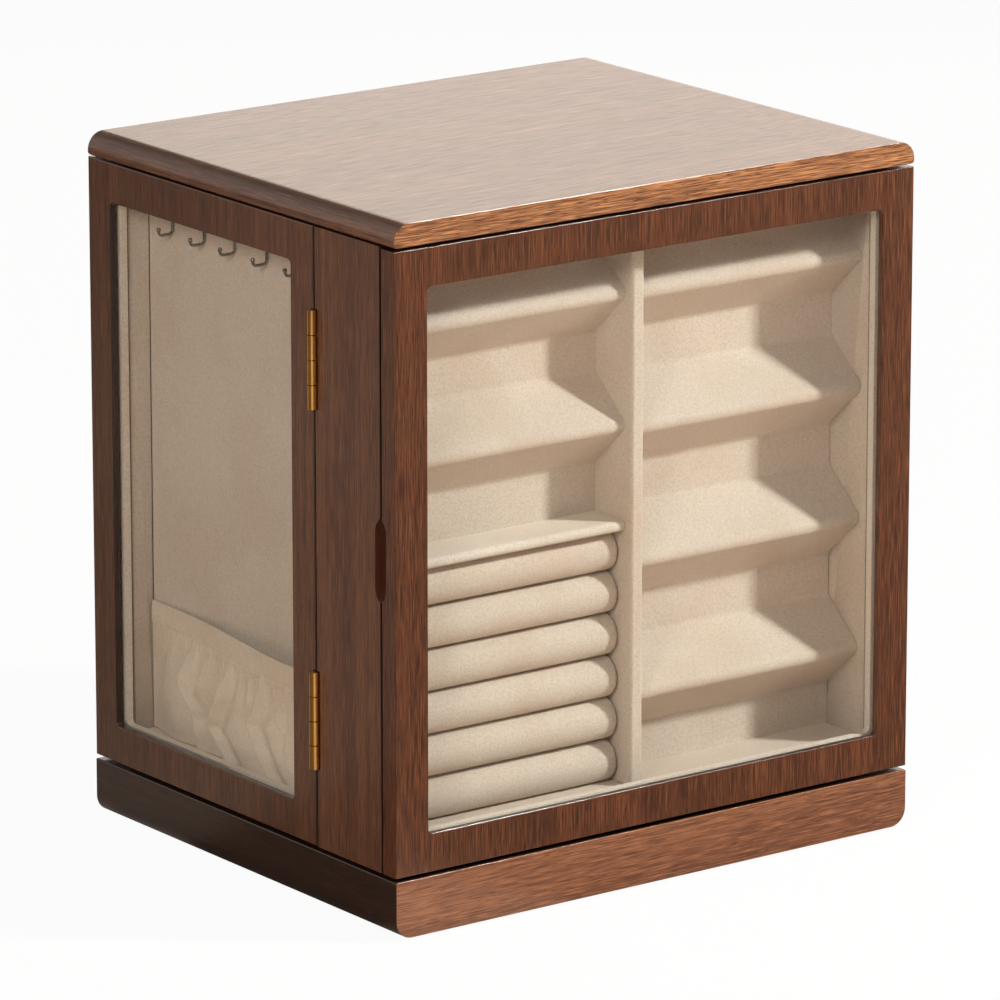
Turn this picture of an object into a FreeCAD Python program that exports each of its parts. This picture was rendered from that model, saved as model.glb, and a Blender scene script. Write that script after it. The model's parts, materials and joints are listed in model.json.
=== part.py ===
import FreeCAD, Part
import math
import os

V = FreeCAD.Vector
UP = V(0, 0, 1)

# Rotating jewelry box: a walnut cabinet that turns on a flat base. The front and both sides are
# glass doors over shallow velvet compartments, and three drawers slide out of the back.
# Frame: origin on the table under the middle of the box, X to the right, front face towards -Y,
# Z up. All sizes are millimetres.

# Body and levels
body_width = 246.0
body_depth = 202.0
cabinet_height = 240.0
base_height = 22.3
slab_thickness = 9.0
foot_proud = 1.0
swivel_gap = 1.7
slab_gap = 1.2
slab_overhang = 0.2
side_above_front = 0.7
edge_round = 7.0
slab_lower_round = 1.5
edge_break = 0.5

# Boards
board = 7.0
core_board = 4.0
liner = 4.0
velvet_board = 2.5
back_frame_thickness = 9.0

# Doors
door_thickness = 8.4
frame_rail = 15.0
door_gap_behind = 1.2
side_door_gap_behind = 1.0
side_door_seam = 0.8
side_door_from_front = 51.5
window_lip = 2.6
rebate_width = 4.0
glass_thickness = 2.0
glass_clearance = 0.4
bead_thickness = 3.2
bead_clearance = 0.1
window_corner = 2.0

# Finger notches
notch_height = 32.8
notch_straight = 21.0
notch_in_board = 3.2
notch_in_door = 2.5
notch_depth = 5.0
notch_above_middle = 1.1

# Hinges and screws
hinge_length = 38.0
hinge_inset = 50.0
knuckle_count = 4
knuckle_gap = 0.4
knuckle_radius = 2.05
pin_radius = 0.8
pin_clearance = 0.05
barrel_proud = 1.15
leaf_thickness = 1.0
leaf_gap = 0.2
leaf_reach = 6.0
leaf_clearance = 0.1
barrel_clearance = 0.35
hinge_screw_spacing = 22.0
screw_head_radius = 1.9
screw_shank_radius = 0.9
screw_length = 6.0
screw_fit = 0.05
screw_slot_width = 0.5
screw_slot_depth = 0.4

# Door catches
magnet_radius = 2.5
magnet_length = 4.0
magnet_fit = 0.05
magnet_inset_z = 25.0

# Swivel bearing
plate_size = 100.0
plate_thickness = 1.2
plate_corner = 6.0
plate_hole_radius = 28.0
bearing_height = 8.0
ball_radius = 2.0
ball_clearance = 0.05
ball_track_radius = 38.0
ball_count = 16
race_half_width = 4.0
race_gap = 0.8
flange_width = 1.5
flange_height = 0.5
retainer_clearance = 0.4
retainer_wall = 1.6
retainer_lip_height = 0.6
recess_clearance = 2.3
bearing_screw_inset = 8.0
bearing_screw_head_radius = 2.6
bearing_screw_head_height = 1.4
bearing_screw_shank_radius = 1.4
bearing_screw_depth = 5.5
access_hole_radius = 5.0

# Feet
foot_radius = 8.0
foot_sunk = 2.0
foot_clearance = 0.2
foot_edge_distance = 19.0

# Front compartment
compartment_depth = 28.4
insert_setback = 3.6
divider_thickness = 6.0
velvet_edge = 1.5
tier_depth = 20.3
tier_half_height = 17.8
tier_board = 2.0
tier_nose = 3.6
tier_foot = 3.0
left_tier_count = 2
left_tier_top = 229.4
left_tier_pitch = 51.3
right_tier_count = 4
right_tier_top = 228.5
right_tier_pitch = 52.6
shelf_top = 140.8
shelf_thickness = 4.2
shelf_depth = 21.2
shelf_nose = 2.0

# Ring rolls
roll_count = 6
roll_gap = 0.3
roll_depth = 18.4
roll_end_drawn = 2.6
roll_crown = 0.4

# Side compartments
side_compartment_depth = 10.1
hook_count = 6
hook_pitch = 21.2
hook_wire_radius = 0.6
hook_root_below_top = 8.0
hook_drop = 9.2
hook_reach = 6.4
hook_bend = 1.8
hook_tip_rise = 0.8
hook_stand_off = 1.2
hook_in_board = 2.0

# Pockets
pocket_height = 52.0
pocket_hem = 10.0
pocket_bulge = 8.0
pocket_bulge_lean = 0.5
pocket_cloth = 1.0
pocket_fold_depth = 1.8
pocket_fold_count = 8
pocket_clearance = 0.3

# Drawers
drawer_count = 3
drawer_front_gap = 0.8
drawer_side_gap = 0.6
drawer_floor_gap = 0.4
drawer_wall = 4.0
drawer_bottom = 3.0
drawer_above = 7.0
drawer_back_gap = 2.0
drawer_lining = 1.5
drawer_lining_clearance = 0.3
drawer_lining_below_edge = 5.0
scoop_radius = 11.0
shelf_setback = 0.5

# Levels and planes that follow from the sizes above
half_width = body_width / 2
half_depth = body_depth / 2
base_top = foot_proud + base_height
cabinet_bottom = base_top + swivel_gap
cabinet_top = cabinet_bottom + cabinet_height
side_top = cabinet_top + side_above_front
slab_bottom = cabinet_top + slab_gap
slab_top = slab_bottom + slab_thickness
inner_floor = cabinet_bottom + board
inner_ceiling = slab_bottom - board
lined_floor = inner_floor + liner
lined_ceiling = inner_ceiling - liner
front_face = -half_depth
carcass_front = front_face + door_thickness + door_gap_behind
wall_inner = half_width - board
lined_wall = wall_inner - liner
partition_front = carcass_front + compartment_depth
partition_back = partition_front + board
tier_valley = partition_front - tier_board
insert_front = carcass_front + insert_setback
side_door_front = front_face + side_door_from_front
stile_back = side_door_front - side_door_seam
carcass_side = half_width - door_thickness - side_door_gap_behind
frame_front = half_depth - back_frame_thickness
side_liner_front = partition_back + liner
side_liner_back = frame_front - liner
velvet_face = carcass_side - side_compartment_depth
core_outer = velvet_face - velvet_board
core_inner = core_outer - core_board
hinge_axis_x = half_width + barrel_proud
front_hinge_y = carcass_front - door_gap_behind / 2
side_hinge_y = side_door_front - side_door_seam / 2
hinge_levels = (cabinet_bottom + hinge_inset, cabinet_top - hinge_inset)
magnet_levels = (cabinet_bottom + magnet_inset_z, cabinet_top - magnet_inset_z)
notch_level = (cabinet_bottom + cabinet_top) / 2 + notch_above_middle


def span(x0, x1, y0, y1, z0, z1):
    """A box between two corners, given in any order."""
    low = V(min(x0, x1), min(y0, y1), min(z0, z1))
    return Part.makeBox(abs(x1 - x0), abs(y1 - y0), abs(z1 - z0), low)


def mirrored(shape):
    """The same piece on the other side of the box."""
    return shape.mirror(V(0, 0, 0), V(1, 0, 0))


def turned(shape, angle):
    copy = shape.copy()
    copy.rotate(V(0, 0, 0), UP, angle)
    return copy


def moved(shape, x, y, z):
    copy = shape.copy()
    copy.translate(V(x, y, z))
    return copy


def middle_of(edge):
    """The middle of an edge's box, which is enough to tell edges apart."""
    return edge.BoundBox.Center


def rounded(shape, radius, wanted):
    """Round the edges for which wanted(middle, edge) holds."""
    edges = [edge for edge in shape.Edges if wanted(middle_of(edge), edge)]
    return shape.makeFillet(radius, edges) if edges else shape


def near(a, b):
    return abs(a - b) < 0.01


def along(edge, axis):
    """Whether a straight edge runs along x, y or z."""
    box = edge.BoundBox
    lengths = {"x": box.XLength, "y": box.YLength, "z": box.ZLength}
    return all(size < 0.01 for name, size in lengths.items() if name != axis)


def rounded_window(x0, x1, y0, y1, z0, z1, radius):
    """A box along Y whose four long edges are rounded: the cutter for a window."""
    window = span(x0, x1, y0, y1, z0, z1)
    return rounded(window, radius, lambda mid, edge: along(edge, "y"))


# Screws. A countersunk screw has its head flush at the origin and points along -Z.

def countersunk_screw(fit=0.0):
    head = Part.makeCone(screw_shank_radius + fit, screw_head_radius + fit, leaf_thickness,
                         V(0, 0, -leaf_thickness))
    shank = Part.makeCylinder(screw_shank_radius + fit, screw_length + fit, V(0, 0, -screw_length - fit))
    screw = head.fuse(shank).removeSplitter()
    if fit:
        return screw
    slot = span(-screw_head_radius, screw_head_radius, -screw_slot_width / 2, screw_slot_width / 2,
                -screw_slot_depth, screw_slot_depth)
    return screw.cut(slot)


def aimed(shape, direction):
    """Turn a piece made along -Z so that it points along a direction."""
    copy = shape.copy()
    copy.Placement = FreeCAD.Placement(V(0, 0, 0), FreeCAD.Rotation(V(0, 0, -1), direction))
    return copy


# Hinge. Its pin is the Z axis, the leaves reach inwards along +X, the fixed leaf lies on the -Y
# side of the seam and the door's leaf on the +Y side.

def knuckle_span(index):
    height = (hinge_length - (knuckle_count - 1) * knuckle_gap) / knuckle_count
    low = -hinge_length / 2 + index * (height + knuckle_gap)
    return low, low + height


def hinge_screw_places(side):
    """Where the two screws of one leaf sit: side is -1 for the fixed leaf and 1 for the door's."""
    inner_end = barrel_proud + leaf_reach
    x = (knuckle_radius + inner_end) / 2
    y = side * leaf_gap / 2
    return [V(x, y, half * hinge_screw_spacing / 2) for half in (-1, 1)]


def hinge_leaf(side, knuckles):
    inner_end = barrel_proud + leaf_reach
    plate_y0 = side * leaf_gap / 2
    plate_y1 = side * (leaf_gap / 2 + leaf_thickness)
    clear = knuckle_radius + leaf_clearance * 2
    leaf = span(clear, inner_end, plate_y0, plate_y1, -hinge_length / 2, hinge_length / 2)
    for index in knuckles:
        low, high = knuckle_span(index)
        tube = Part.makeCylinder(knuckle_radius, high - low, V(0, 0, low))
        neck = span(0, clear, plate_y0, plate_y1, low, high)
        leaf = leaf.fuse(tube).fuse(neck)
    leaf = leaf.removeSplitter()
    pin_hole = Part.makeCylinder(pin_radius + pin_clearance, hinge_length * 2, V(0, 0, -hinge_length))
    leaf = leaf.cut(pin_hole)
    for place in hinge_screw_places(side):
        hole = aimed(countersunk_screw(screw_fit), V(0, side, 0))
        leaf = leaf.cut(moved(hole, place.x, place.y, place.z))
    return leaf


def hinge_pin():
    return Part.makeCylinder(pin_radius, hinge_length, V(0, 0, -hinge_length / 2))


def hinge_screws(side, fit=0.0):
    screw = aimed(countersunk_screw(fit), V(0, side, 0))
    return [moved(screw, place.x, place.y, place.z) for place in hinge_screw_places(side)]


def hinge_seat(side):
    """What one side's wood loses for its leaf, its screws and the barrel."""
    inner_end = barrel_proud + leaf_reach + leaf_clearance
    plate_y1 = side * (leaf_gap / 2 + leaf_thickness)
    seat = span(0, inner_end, 0, plate_y1,
                -hinge_length / 2 - leaf_clearance, hinge_length / 2 + leaf_clearance)
    groove_length = hinge_length + 2 * barrel_clearance
    groove = Part.makeCylinder(knuckle_radius + barrel_clearance, groove_length,
                               V(0, 0, -groove_length / 2))
    return seat.fuse(groove).fuse(hinge_screws(side, screw_fit))


def at_hinges(shape, door):
    """Copies of a hinge piece at both hinges of one door."""
    if door == "front":
        shape = turned(shape, 180)
        x, y = hinge_axis_x, front_hinge_y
    elif door == "left":
        x, y = -hinge_axis_x, side_hinge_y
    else:
        shape = mirrored(shape)
        x, y = hinge_axis_x, side_hinge_y
    return [moved(shape, x, y, level) for level in hinge_levels]


fixed_knuckles = range(0, knuckle_count, 2)
door_knuckles = range(1, knuckle_count, 2)


# Doors. Each is made lying in the XZ plane with its hinge edge at x = 0, its outer face at y = 0
# and its inside towards +Y, then placed.

def placed_door(shape, door):
    if door == "front":
        return moved(mirrored(shape), half_width, front_face, 0)
    right = moved(turned(shape, 90), half_width, side_door_front, 0)
    return right if door == "right" else mirrored(right)


def door_width(door):
    return body_width if door == "front" else half_depth - side_door_front


def window_frame(width, inset):
    """The four sides of the window, moved outwards by inset."""
    return (frame_rail - inset, width - frame_rail + inset,
            cabinet_bottom + frame_rail - inset, cabinet_top - frame_rail + inset)


def door_top(door):
    return cabinet_top if door == "front" else side_top


def door_frame(width, top):
    frame = span(0, width, 0, door_thickness, cabinet_bottom, top)
    x0, x1, z0, z1 = window_frame(width, 0)
    frame = frame.cut(rounded_window(x0, x1, -1, door_thickness + 1, z0, z1, window_corner))
    frame = rounded(frame, edge_break, lambda mid, edge: near(mid.y, 0) and edge.BoundBox.YLength < 0.01)
    x0, x1, z0, z1 = window_frame(width, rebate_width)
    return frame.cut(span(x0, x1, window_lip, door_thickness + 1, z0, z1))


def door_glass(width):
    x0, x1, z0, z1 = window_frame(width, rebate_width - glass_clearance)
    return span(x0, x1, window_lip, window_lip + glass_thickness, z0, z1)


def door_bead(width):
    start = window_lip + glass_thickness
    x0, x1, z0, z1 = window_frame(width, rebate_width - bead_clearance)
    bead = span(x0, x1, start, start + bead_thickness, z0, z1)
    x0, x1, z0, z1 = window_frame(width, 0)
    return bead.cut(rounded_window(x0, x1, start - 1, start + bead_thickness + 1, z0, z1, window_corner))


def notch_cutter(width_across, x, y, direction):
    """An upright cutter with pointed ends, sunk notch_depth along a direction from a face."""
    half = width_across / 2
    straight = notch_straight / 2
    rise = notch_height / 2 - straight
    across = UP.cross(direction)
    middle = V(x, y, notch_level)

    def place(sideways, level):
        return middle + across * sideways + UP * level

    # Each end is two arcs that leave the straight sides smoothly and meet in a point.
    arc_radius = (half ** 2 + rise ** 2) / (2 * half)
    turn = math.asin(rise / arc_radius) / 2
    bow = half - arc_radius * (1 - math.cos(turn))
    climb = straight + arc_radius * math.sin(turn)
    edges = []
    for end in (1, -1):
        point = place(0, end * (straight + rise))
        for side in (1, -1):
            foot = place(side * half, end * straight)
            edges.append(Part.Arc(foot, place(side * bow, end * climb), point).toShape())
    for side in (1, -1):
        edges.append(Part.makeLine(place(side * half, -straight), place(side * half, straight)))
    outline = Part.Wire(Part.sortEdges(edges)[0])
    return Part.Face(outline).extrude(direction * notch_depth)


def finger_notch(door):
    """The cutter that both the door and the wood beside it lose at the seam."""
    across = notch_in_board + notch_in_door
    if door == "front":
        gap = door_gap_behind
        y = carcass_front + notch_in_board - (across + gap) / 2
        return notch_cutter(across + gap, -half_width, y, V(1, 0, 0))
    gap = side_door_gap_behind
    x = carcass_side - notch_in_board + (across + gap) / 2
    cutter = notch_cutter(across + gap, x, half_depth, V(0, -1, 0))
    return cutter if door == "right" else mirrored(cutter)


def magnet_places(door):
    """Centre of each magnet's face, and the direction in which it is sunk."""
    if door == "front":
        x = -(half_width + wall_inner) / 2
        return [(V(x, carcass_front, level), V(0, 1, 0)) for level in magnet_levels]
    sign = 1 if door == "right" else -1
    y = (frame_front + half_depth) / 2
    return [(V(sign * carcass_side, y, level), V(-sign, 0, 0)) for level in magnet_levels]


def magnets(door, fit=0.0):
    return [Part.makeCylinder(magnet_radius + fit, magnet_length, place, direction)
            for place, direction in magnet_places(door)]


def catch_screws(door, fit=0.0):
    """The steel screws in the door that its magnets hold."""
    gap = door_gap_behind if door == "front" else side_door_gap_behind
    screws = []
    for place, direction in magnet_places(door):
        head = place - direction * gap
        screws.append(moved(aimed(countersunk_screw(fit), direction * -1), head.x, head.y, head.z))
    return screws


def door_parts(door):
    """The five pieces of one door."""
    width = door_width(door)
    frame = placed_door(door_frame(width, door_top(door)), door)
    frame = frame.cut(at_hinges(hinge_seat(1), door))
    frame = frame.cut(catch_screws(door, screw_fit))
    frame = frame.cut(finger_notch(door))
    screws = catch_screws(door)
    for screw in hinge_screws(1):
        screws += at_hinges(screw, door)
    name = door + "_door_"
    return {
        name + "frame": frame,
        name + "glass": placed_door(door_glass(width), door),
        name + "bead": placed_door(door_bead(width), door),
        name + "hinge_leaves": Part.makeCompound(at_hinges(hinge_leaf(1, door_knuckles), door)),
        name + "screws": Part.makeCompound(screws),
    }


# Base and swivel bearing

def foot_places():
    x = half_width - foot_edge_distance
    y = half_depth - foot_edge_distance
    return [(sx * x, sy * y) for sx in (-1, 1) for sy in (-1, 1)]


def base_parts():
    plinth = span(-half_width, half_width, -half_depth, half_depth, foot_proud, base_top)
    plinth = rounded(plinth, edge_round,
                     lambda mid, edge: along(edge, "y") and near(mid.z, foot_proud))
    plinth = rounded(plinth, edge_break, lambda mid, edge: near(mid.z, base_top))
    recess_floor = cabinet_bottom - bearing_height
    recess_radius = plate_size / math.sqrt(2) + recess_clearance
    plinth = plinth.cut(Part.makeCylinder(recess_radius, bearing_height, V(0, 0, recess_floor)))
    sunk = foot_proud + foot_sunk
    for x, y in foot_places():
        plinth = plinth.cut(Part.makeCylinder(foot_radius + foot_clearance, foot_sunk, V(x, y, foot_proud)))
    screw_radius = (plate_size / 2 - bearing_screw_inset) * math.sqrt(2)
    plinth = plinth.cut(Part.makeCylinder(access_hole_radius, base_top, V(screw_radius, 0, 0)))
    screws = bearing_screws(recess_floor + plate_thickness, -1)
    plinth = plinth.cut(bearing_screws(recess_floor + plate_thickness, -1, screw_fit))
    feet = [Part.makeCylinder(foot_radius, sunk, V(x, y, 0)) for x, y in foot_places()]
    return {"base_plinth": plinth, "base_feet": Part.makeCompound(feet),
            "bearing_base_screws": Part.makeCompound(screws)}


def bearing_screws(level, direction, fit=0.0):
    """Four pan-head screws whose heads rest on a plate at level and point up or down."""
    place = plate_size / 2 - bearing_screw_inset
    depth = plate_thickness + bearing_screw_depth
    screws = []
    for x in (-place, place):
        for y in (-place, place):
            shank = Part.makeCylinder(bearing_screw_shank_radius + fit, depth + fit, V(x, y, level),
                                      V(0, 0, direction))
            head = Part.makeCylinder(bearing_screw_head_radius, bearing_screw_head_height, V(x, y, level),
                                     V(0, 0, -direction))
            screws.append(head.fuse(shank).removeSplitter())
    return screws


def bearing_plate(low):
    plate = span(-plate_size / 2, plate_size / 2, -plate_size / 2, plate_size / 2,
                 low, low + plate_thickness)
    plate = rounded(plate, plate_corner, lambda mid, edge: along(edge, "z"))
    return plate.cut(Part.makeCylinder(plate_hole_radius, plate_thickness, V(0, 0, low)))


def ring(r0, r1, z0, z1):
    outer = Part.makeCylinder(r1, z1 - z0, V(0, 0, z0))
    return outer.cut(Part.makeCylinder(r0, z1 - z0, V(0, 0, z0)))


def bearing_parts():
    bottom = cabinet_bottom - bearing_height
    middle = cabinet_bottom - bearing_height / 2
    inner = ball_track_radius - race_half_width
    outer = ball_track_radius + race_half_width
    flange_low = middle + race_gap / 2
    flange_outer = outer + flange_width
    wall_inner_radius = flange_outer + retainer_clearance
    wall_outer_radius = wall_inner_radius + retainer_wall
    lip_low = flange_low + flange_height + retainer_clearance
    groove = Part.makeTorus(ball_track_radius, ball_radius + ball_clearance, V(0, 0, middle))
    lower_race = ring(inner, outer, bottom + plate_thickness, middle - race_gap / 2).cut(groove)
    rim_floor = ring(outer, wall_outer_radius, bottom + plate_thickness,
                     bottom + 2 * plate_thickness)
    rim_wall = ring(wall_inner_radius, wall_outer_radius, bottom + plate_thickness,
                    lip_low + retainer_lip_height)
    rim_lip = ring(outer + retainer_clearance, wall_outer_radius, lip_low, lip_low + retainer_lip_height)
    lower = bearing_plate(bottom).fuse([lower_race, rim_floor, rim_wall, rim_lip]).removeSplitter()
    lower = lower.cut(bearing_screws(bottom + plate_thickness, -1, screw_fit))
    upper_race = ring(inner, outer, flange_low, cabinet_bottom - plate_thickness).cut(groove)
    flange = ring(outer, flange_outer, flange_low, flange_low + flange_height)
    upper = bearing_plate(cabinet_bottom - plate_thickness).fuse([upper_race, flange]).removeSplitter()
    upper = upper.cut(bearing_screws(cabinet_bottom - plate_thickness, 1, screw_fit))
    balls = []
    for index in range(ball_count):
        angle = 2 * math.pi * index / ball_count
        centre = V(ball_track_radius * math.cos(angle), ball_track_radius * math.sin(angle), middle)
        balls.append(Part.makeSphere(ball_radius, centre))
    upper_screws = bearing_screws(cabinet_bottom - plate_thickness, 1)
    return {"bearing_lower_plate": lower, "bearing_upper_plate": upper,
            "bearing_balls": Part.makeCompound(balls),
            "bearing_cabinet_screws": Part.makeCompound(upper_screws)}


# Carcass

def stepped_panel(z0, z1):
    """A full panel: wider between the fixed stiles, narrower behind the side doors."""
    front_part = span(-wall_inner, wall_inner, carcass_front, stile_back, z0, z1)
    rear_part = span(-carcass_side, carcass_side, stile_back, frame_front, z0, z1)
    return front_part.fuse(rear_part).removeSplitter()


def stile(sign):
    """The fixed side wall of the front compartment."""
    wall = span(-half_width, -wall_inner, carcass_front, stile_back, cabinet_bottom, side_top)
    wall = rounded(wall, edge_break / 2, lambda mid, edge: near(mid.x, -half_width) and along(edge, "z"))
    wall = wall if sign < 0 else mirrored(wall)
    door = "left" if sign < 0 else "right"
    wall = wall.cut(at_hinges(hinge_seat(-1), door))
    if sign > 0:
        return wall.cut(at_hinges(hinge_seat(-1), "front"))
    wall = wall.cut(magnets("front", magnet_fit))
    return wall.cut(finger_notch("front"))


def back_posts():
    """The two upright boards at the back, each with half of a fingertip notch."""
    post = span(-carcass_side, -core_inner, frame_front, half_depth, cabinet_bottom, cabinet_top)
    post = rounded(post, edge_break,
                   lambda mid, edge: near(mid.y, half_depth) and not near(mid.x, -core_inner))
    post = post.cut(magnets("left", magnet_fit))
    post = post.cut(finger_notch("left"))
    return post, mirrored(post)


def back_rails():
    """The boards between the posts, below and above the drawers."""
    rails = []
    for low, high, outer in ((cabinet_bottom, inner_floor, cabinet_bottom),
                             (inner_ceiling, cabinet_top, cabinet_top)):
        rail = span(-core_inner, core_inner, frame_front, half_depth, low, high)
        rails.append(rounded(rail, edge_break,
                             lambda mid, edge: near(mid.y, half_depth) and near(mid.z, outer)))
    return Part.makeCompound(rails)


def top_slab():
    side = half_width + slab_overhang
    slab = span(-side, side, -half_depth, half_depth, slab_bottom, slab_top)
    slab = rounded(slab, edge_round, lambda mid, edge: along(edge, "y") and near(mid.z, slab_top))
    slab = rounded(slab, slab_lower_round,
                   lambda mid, edge: along(edge, "y") and near(mid.z, slab_bottom))
    return rounded(slab, edge_break,
                   lambda mid, edge: near(abs(mid.y), half_depth) and edge.BoundBox.YLength < 0.01)


def drawer_bay(index):
    """Floor level and height of one drawer's bay."""
    height = (inner_ceiling - inner_floor - (drawer_count - 1) * core_board) / drawer_count
    return inner_floor + index * (height + core_board), height


def carcass_parts():
    left_post, right_post = back_posts()
    bottom = stepped_panel(cabinet_bottom, inner_floor)
    bottom = bottom.cut(bearing_screws(cabinet_bottom - plate_thickness, 1, screw_fit))
    partition = span(-wall_inner, wall_inner, partition_front, partition_back,
                     inner_floor, inner_ceiling)
    core = span(-core_outer, -core_inner, partition_back, frame_front, inner_floor, inner_ceiling)
    shelves = []
    for index in range(1, drawer_count):
        low = drawer_bay(index)[0] - core_board
        shelves.append(span(-core_inner, core_inner, partition_back, frame_front - shelf_setback,
                            low, low + core_board))
    return {
        "bottom_panel": bottom,
        "top_panel": stepped_panel(inner_ceiling, slab_bottom),
        "top_slab": top_slab(),
        "left_stile": stile(-1),
        "right_stile": stile(1),
        "partition_panel": partition,
        "back_left_post": left_post,
        "back_right_post": right_post,
        "back_rails": back_rails(),
        "core_panels": Part.makeCompound([core, mirrored(core)]),
        "drawer_shelves": Part.makeCompound(shelves),
    }


def fixed_hardware():
    """What the doors' hinges and catches leave in the cabinet."""
    leaves, pins, screws, discs = [], [], [], []
    for door in ("front", "left", "right"):
        leaves += at_hinges(hinge_leaf(-1, fixed_knuckles), door)
        pins += at_hinges(hinge_pin(), door)
        for screw in hinge_screws(-1):
            screws += at_hinges(screw, door)
        discs += magnets(door)
    return {"hinge_fixed_leaves": Part.makeCompound(leaves), "hinge_pins": Part.makeCompound(pins),
            "hinge_fixed_screws": Part.makeCompound(screws), "door_magnets": Part.makeCompound(discs)}


# Front compartment

def front_liner_boards():
    left = span(-wall_inner, -lined_wall, insert_front, partition_front, inner_floor, inner_ceiling)
    floor = span(-lined_wall, lined_wall, insert_front, partition_front, inner_floor, lined_floor)
    ceiling = span(-lined_wall, lined_wall, insert_front, partition_front, lined_ceiling, inner_ceiling)
    return [left, mirrored(left), floor, ceiling]


def tier_insert(x0, x1, z_low, z_high, tips):
    """One folded board whose steps stick out like sideways Vs, seen from the end as a zigzag."""
    slope = math.atan2(tier_half_height, tier_depth)
    corner_shift = tier_board * math.tan((math.pi / 2 - slope) / 2)
    nose_shift = tier_board / math.sin(slope)
    front = [(tier_valley, z_high)]
    back = [(partition_front, z_high)]
    for tip in tips:
        front += [(tier_valley, tip + tier_half_height), (tier_valley - tier_depth, tip),
                  (tier_valley, tip - tier_half_height)]
        back += [(partition_front, tip + tier_half_height - corner_shift),
                 (tier_valley - tier_depth + nose_shift, tip),
                 (partition_front, tip - tier_half_height + corner_shift)]
    front.append((tier_valley, z_low))
    back.append((partition_front, z_low))
    outline = [V(x0, y, z) for y, z in front + back[::-1]]
    face = Part.Face(Part.makePolygon(outline + outline[:1]))
    insert = face.extrude(V(x1 - x0, 0, 0))
    insert = rounded(insert, tier_nose,
                     lambda mid, edge: along(edge, "x") and near(mid.y, tier_valley - tier_depth))
    return rounded(insert, tier_foot,
                   lambda mid, edge: along(edge, "x") and near(mid.y, tier_valley)
                   and z_low + 0.01 < mid.z < z_high - 0.01)


def ring_shelf(x0, x1):
    front = partition_front - shelf_depth
    shelf = span(x0, x1, front, partition_front, shelf_top - shelf_thickness, shelf_top)
    return rounded(shelf, shelf_nose, lambda mid, edge: along(edge, "x") and near(mid.y, front))


def roll_section(x, low, high, depth):
    """A flat-backed section of one ring roll, its front made of two quarter arcs."""
    radius = (high - low) / 2
    level = (low + high) / 2
    arc_start = partition_front - depth + radius
    crest = V(x, arc_start - radius, level)
    slant = radius * math.sqrt(0.5)
    points = [V(x, partition_front, low), V(x, arc_start, low), V(x, arc_start, high),
              V(x, partition_front, high)]
    lower = Part.Arc(points[1], V(x, arc_start - slant, level - slant), crest).toShape()
    upper = Part.Arc(crest, V(x, arc_start - slant, level + slant), points[2]).toShape()
    return Part.Wire([Part.makeLine(points[0], points[1]), lower, upper,
                      Part.makeLine(points[2], points[3]), Part.makeLine(points[3], points[0])])


def ring_rolls(x0, x1):
    """Padded rolls: full in the middle, with the ends drawn in."""
    pitch = (shelf_top - shelf_thickness - lined_floor) / roll_count
    places = [(x0 + roll_gap, 1.0), (x0 + roll_gap + roll_end_drawn / 2, 0.3),
              (x0 + roll_gap + 2 * roll_end_drawn, 0.0)]
    places.append(((x0 + x1) / 2, -roll_crown / roll_end_drawn))
    places += [(x0 + x1 - x, drawn) for x, drawn in places[2::-1]]
    rolls = []
    for index in range(roll_count):
        low = lined_floor + index * pitch
        high = low + pitch - roll_gap
        sections = []
        for x, drawn in places:
            depth = roll_depth - drawn * roll_end_drawn
            pinch = max(drawn, 0) * roll_end_drawn / 2
            sections.append(roll_section(x, low + pinch, high - pinch, depth))
        rolls.append(Part.makeLoft(sections, True, True))
    return rolls


def front_compartment_parts():
    divider_side = divider_thickness / 2
    divider = span(-divider_side, divider_side, insert_front, partition_front,
                   lined_floor, lined_ceiling)
    divider = rounded(divider, velvet_edge, lambda mid, edge: along(edge, "z") and near(mid.y, insert_front))
    left_tips = [left_tier_top - left_tier_pitch * step for step in range(left_tier_count)]
    right_tips = [right_tier_top - right_tier_pitch * step for step in range(right_tier_count)]
    return {
        "front_liner_boards": Part.makeCompound(front_liner_boards()),
        "center_divider": divider,
        "earring_tiers_left": tier_insert(-lined_wall, -divider_side, shelf_top, lined_ceiling, left_tips),
        "earring_tiers_right": tier_insert(divider_side, lined_wall, lined_floor, lined_ceiling,
                                           right_tips),
        "ring_shelf": ring_shelf(-lined_wall, -divider_side),
        "ring_rolls": Part.makeCompound(ring_rolls(-lined_wall, -divider_side)),
    }


# Side compartments, made on the left side

def side_liner_boards():
    front = span(-wall_inner, -velvet_face, partition_back, side_liner_front, inner_floor, inner_ceiling)
    back = span(-carcass_side, -velvet_face, side_liner_back, frame_front, inner_floor, inner_ceiling)
    floor = span(-carcass_side, -velvet_face, side_liner_front, side_liner_back, inner_floor, lined_floor)
    ceiling = span(-carcass_side, -velvet_face, side_liner_front, side_liner_back,
                   lined_ceiling, inner_ceiling)
    return [front, back, floor, ceiling]


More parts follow.
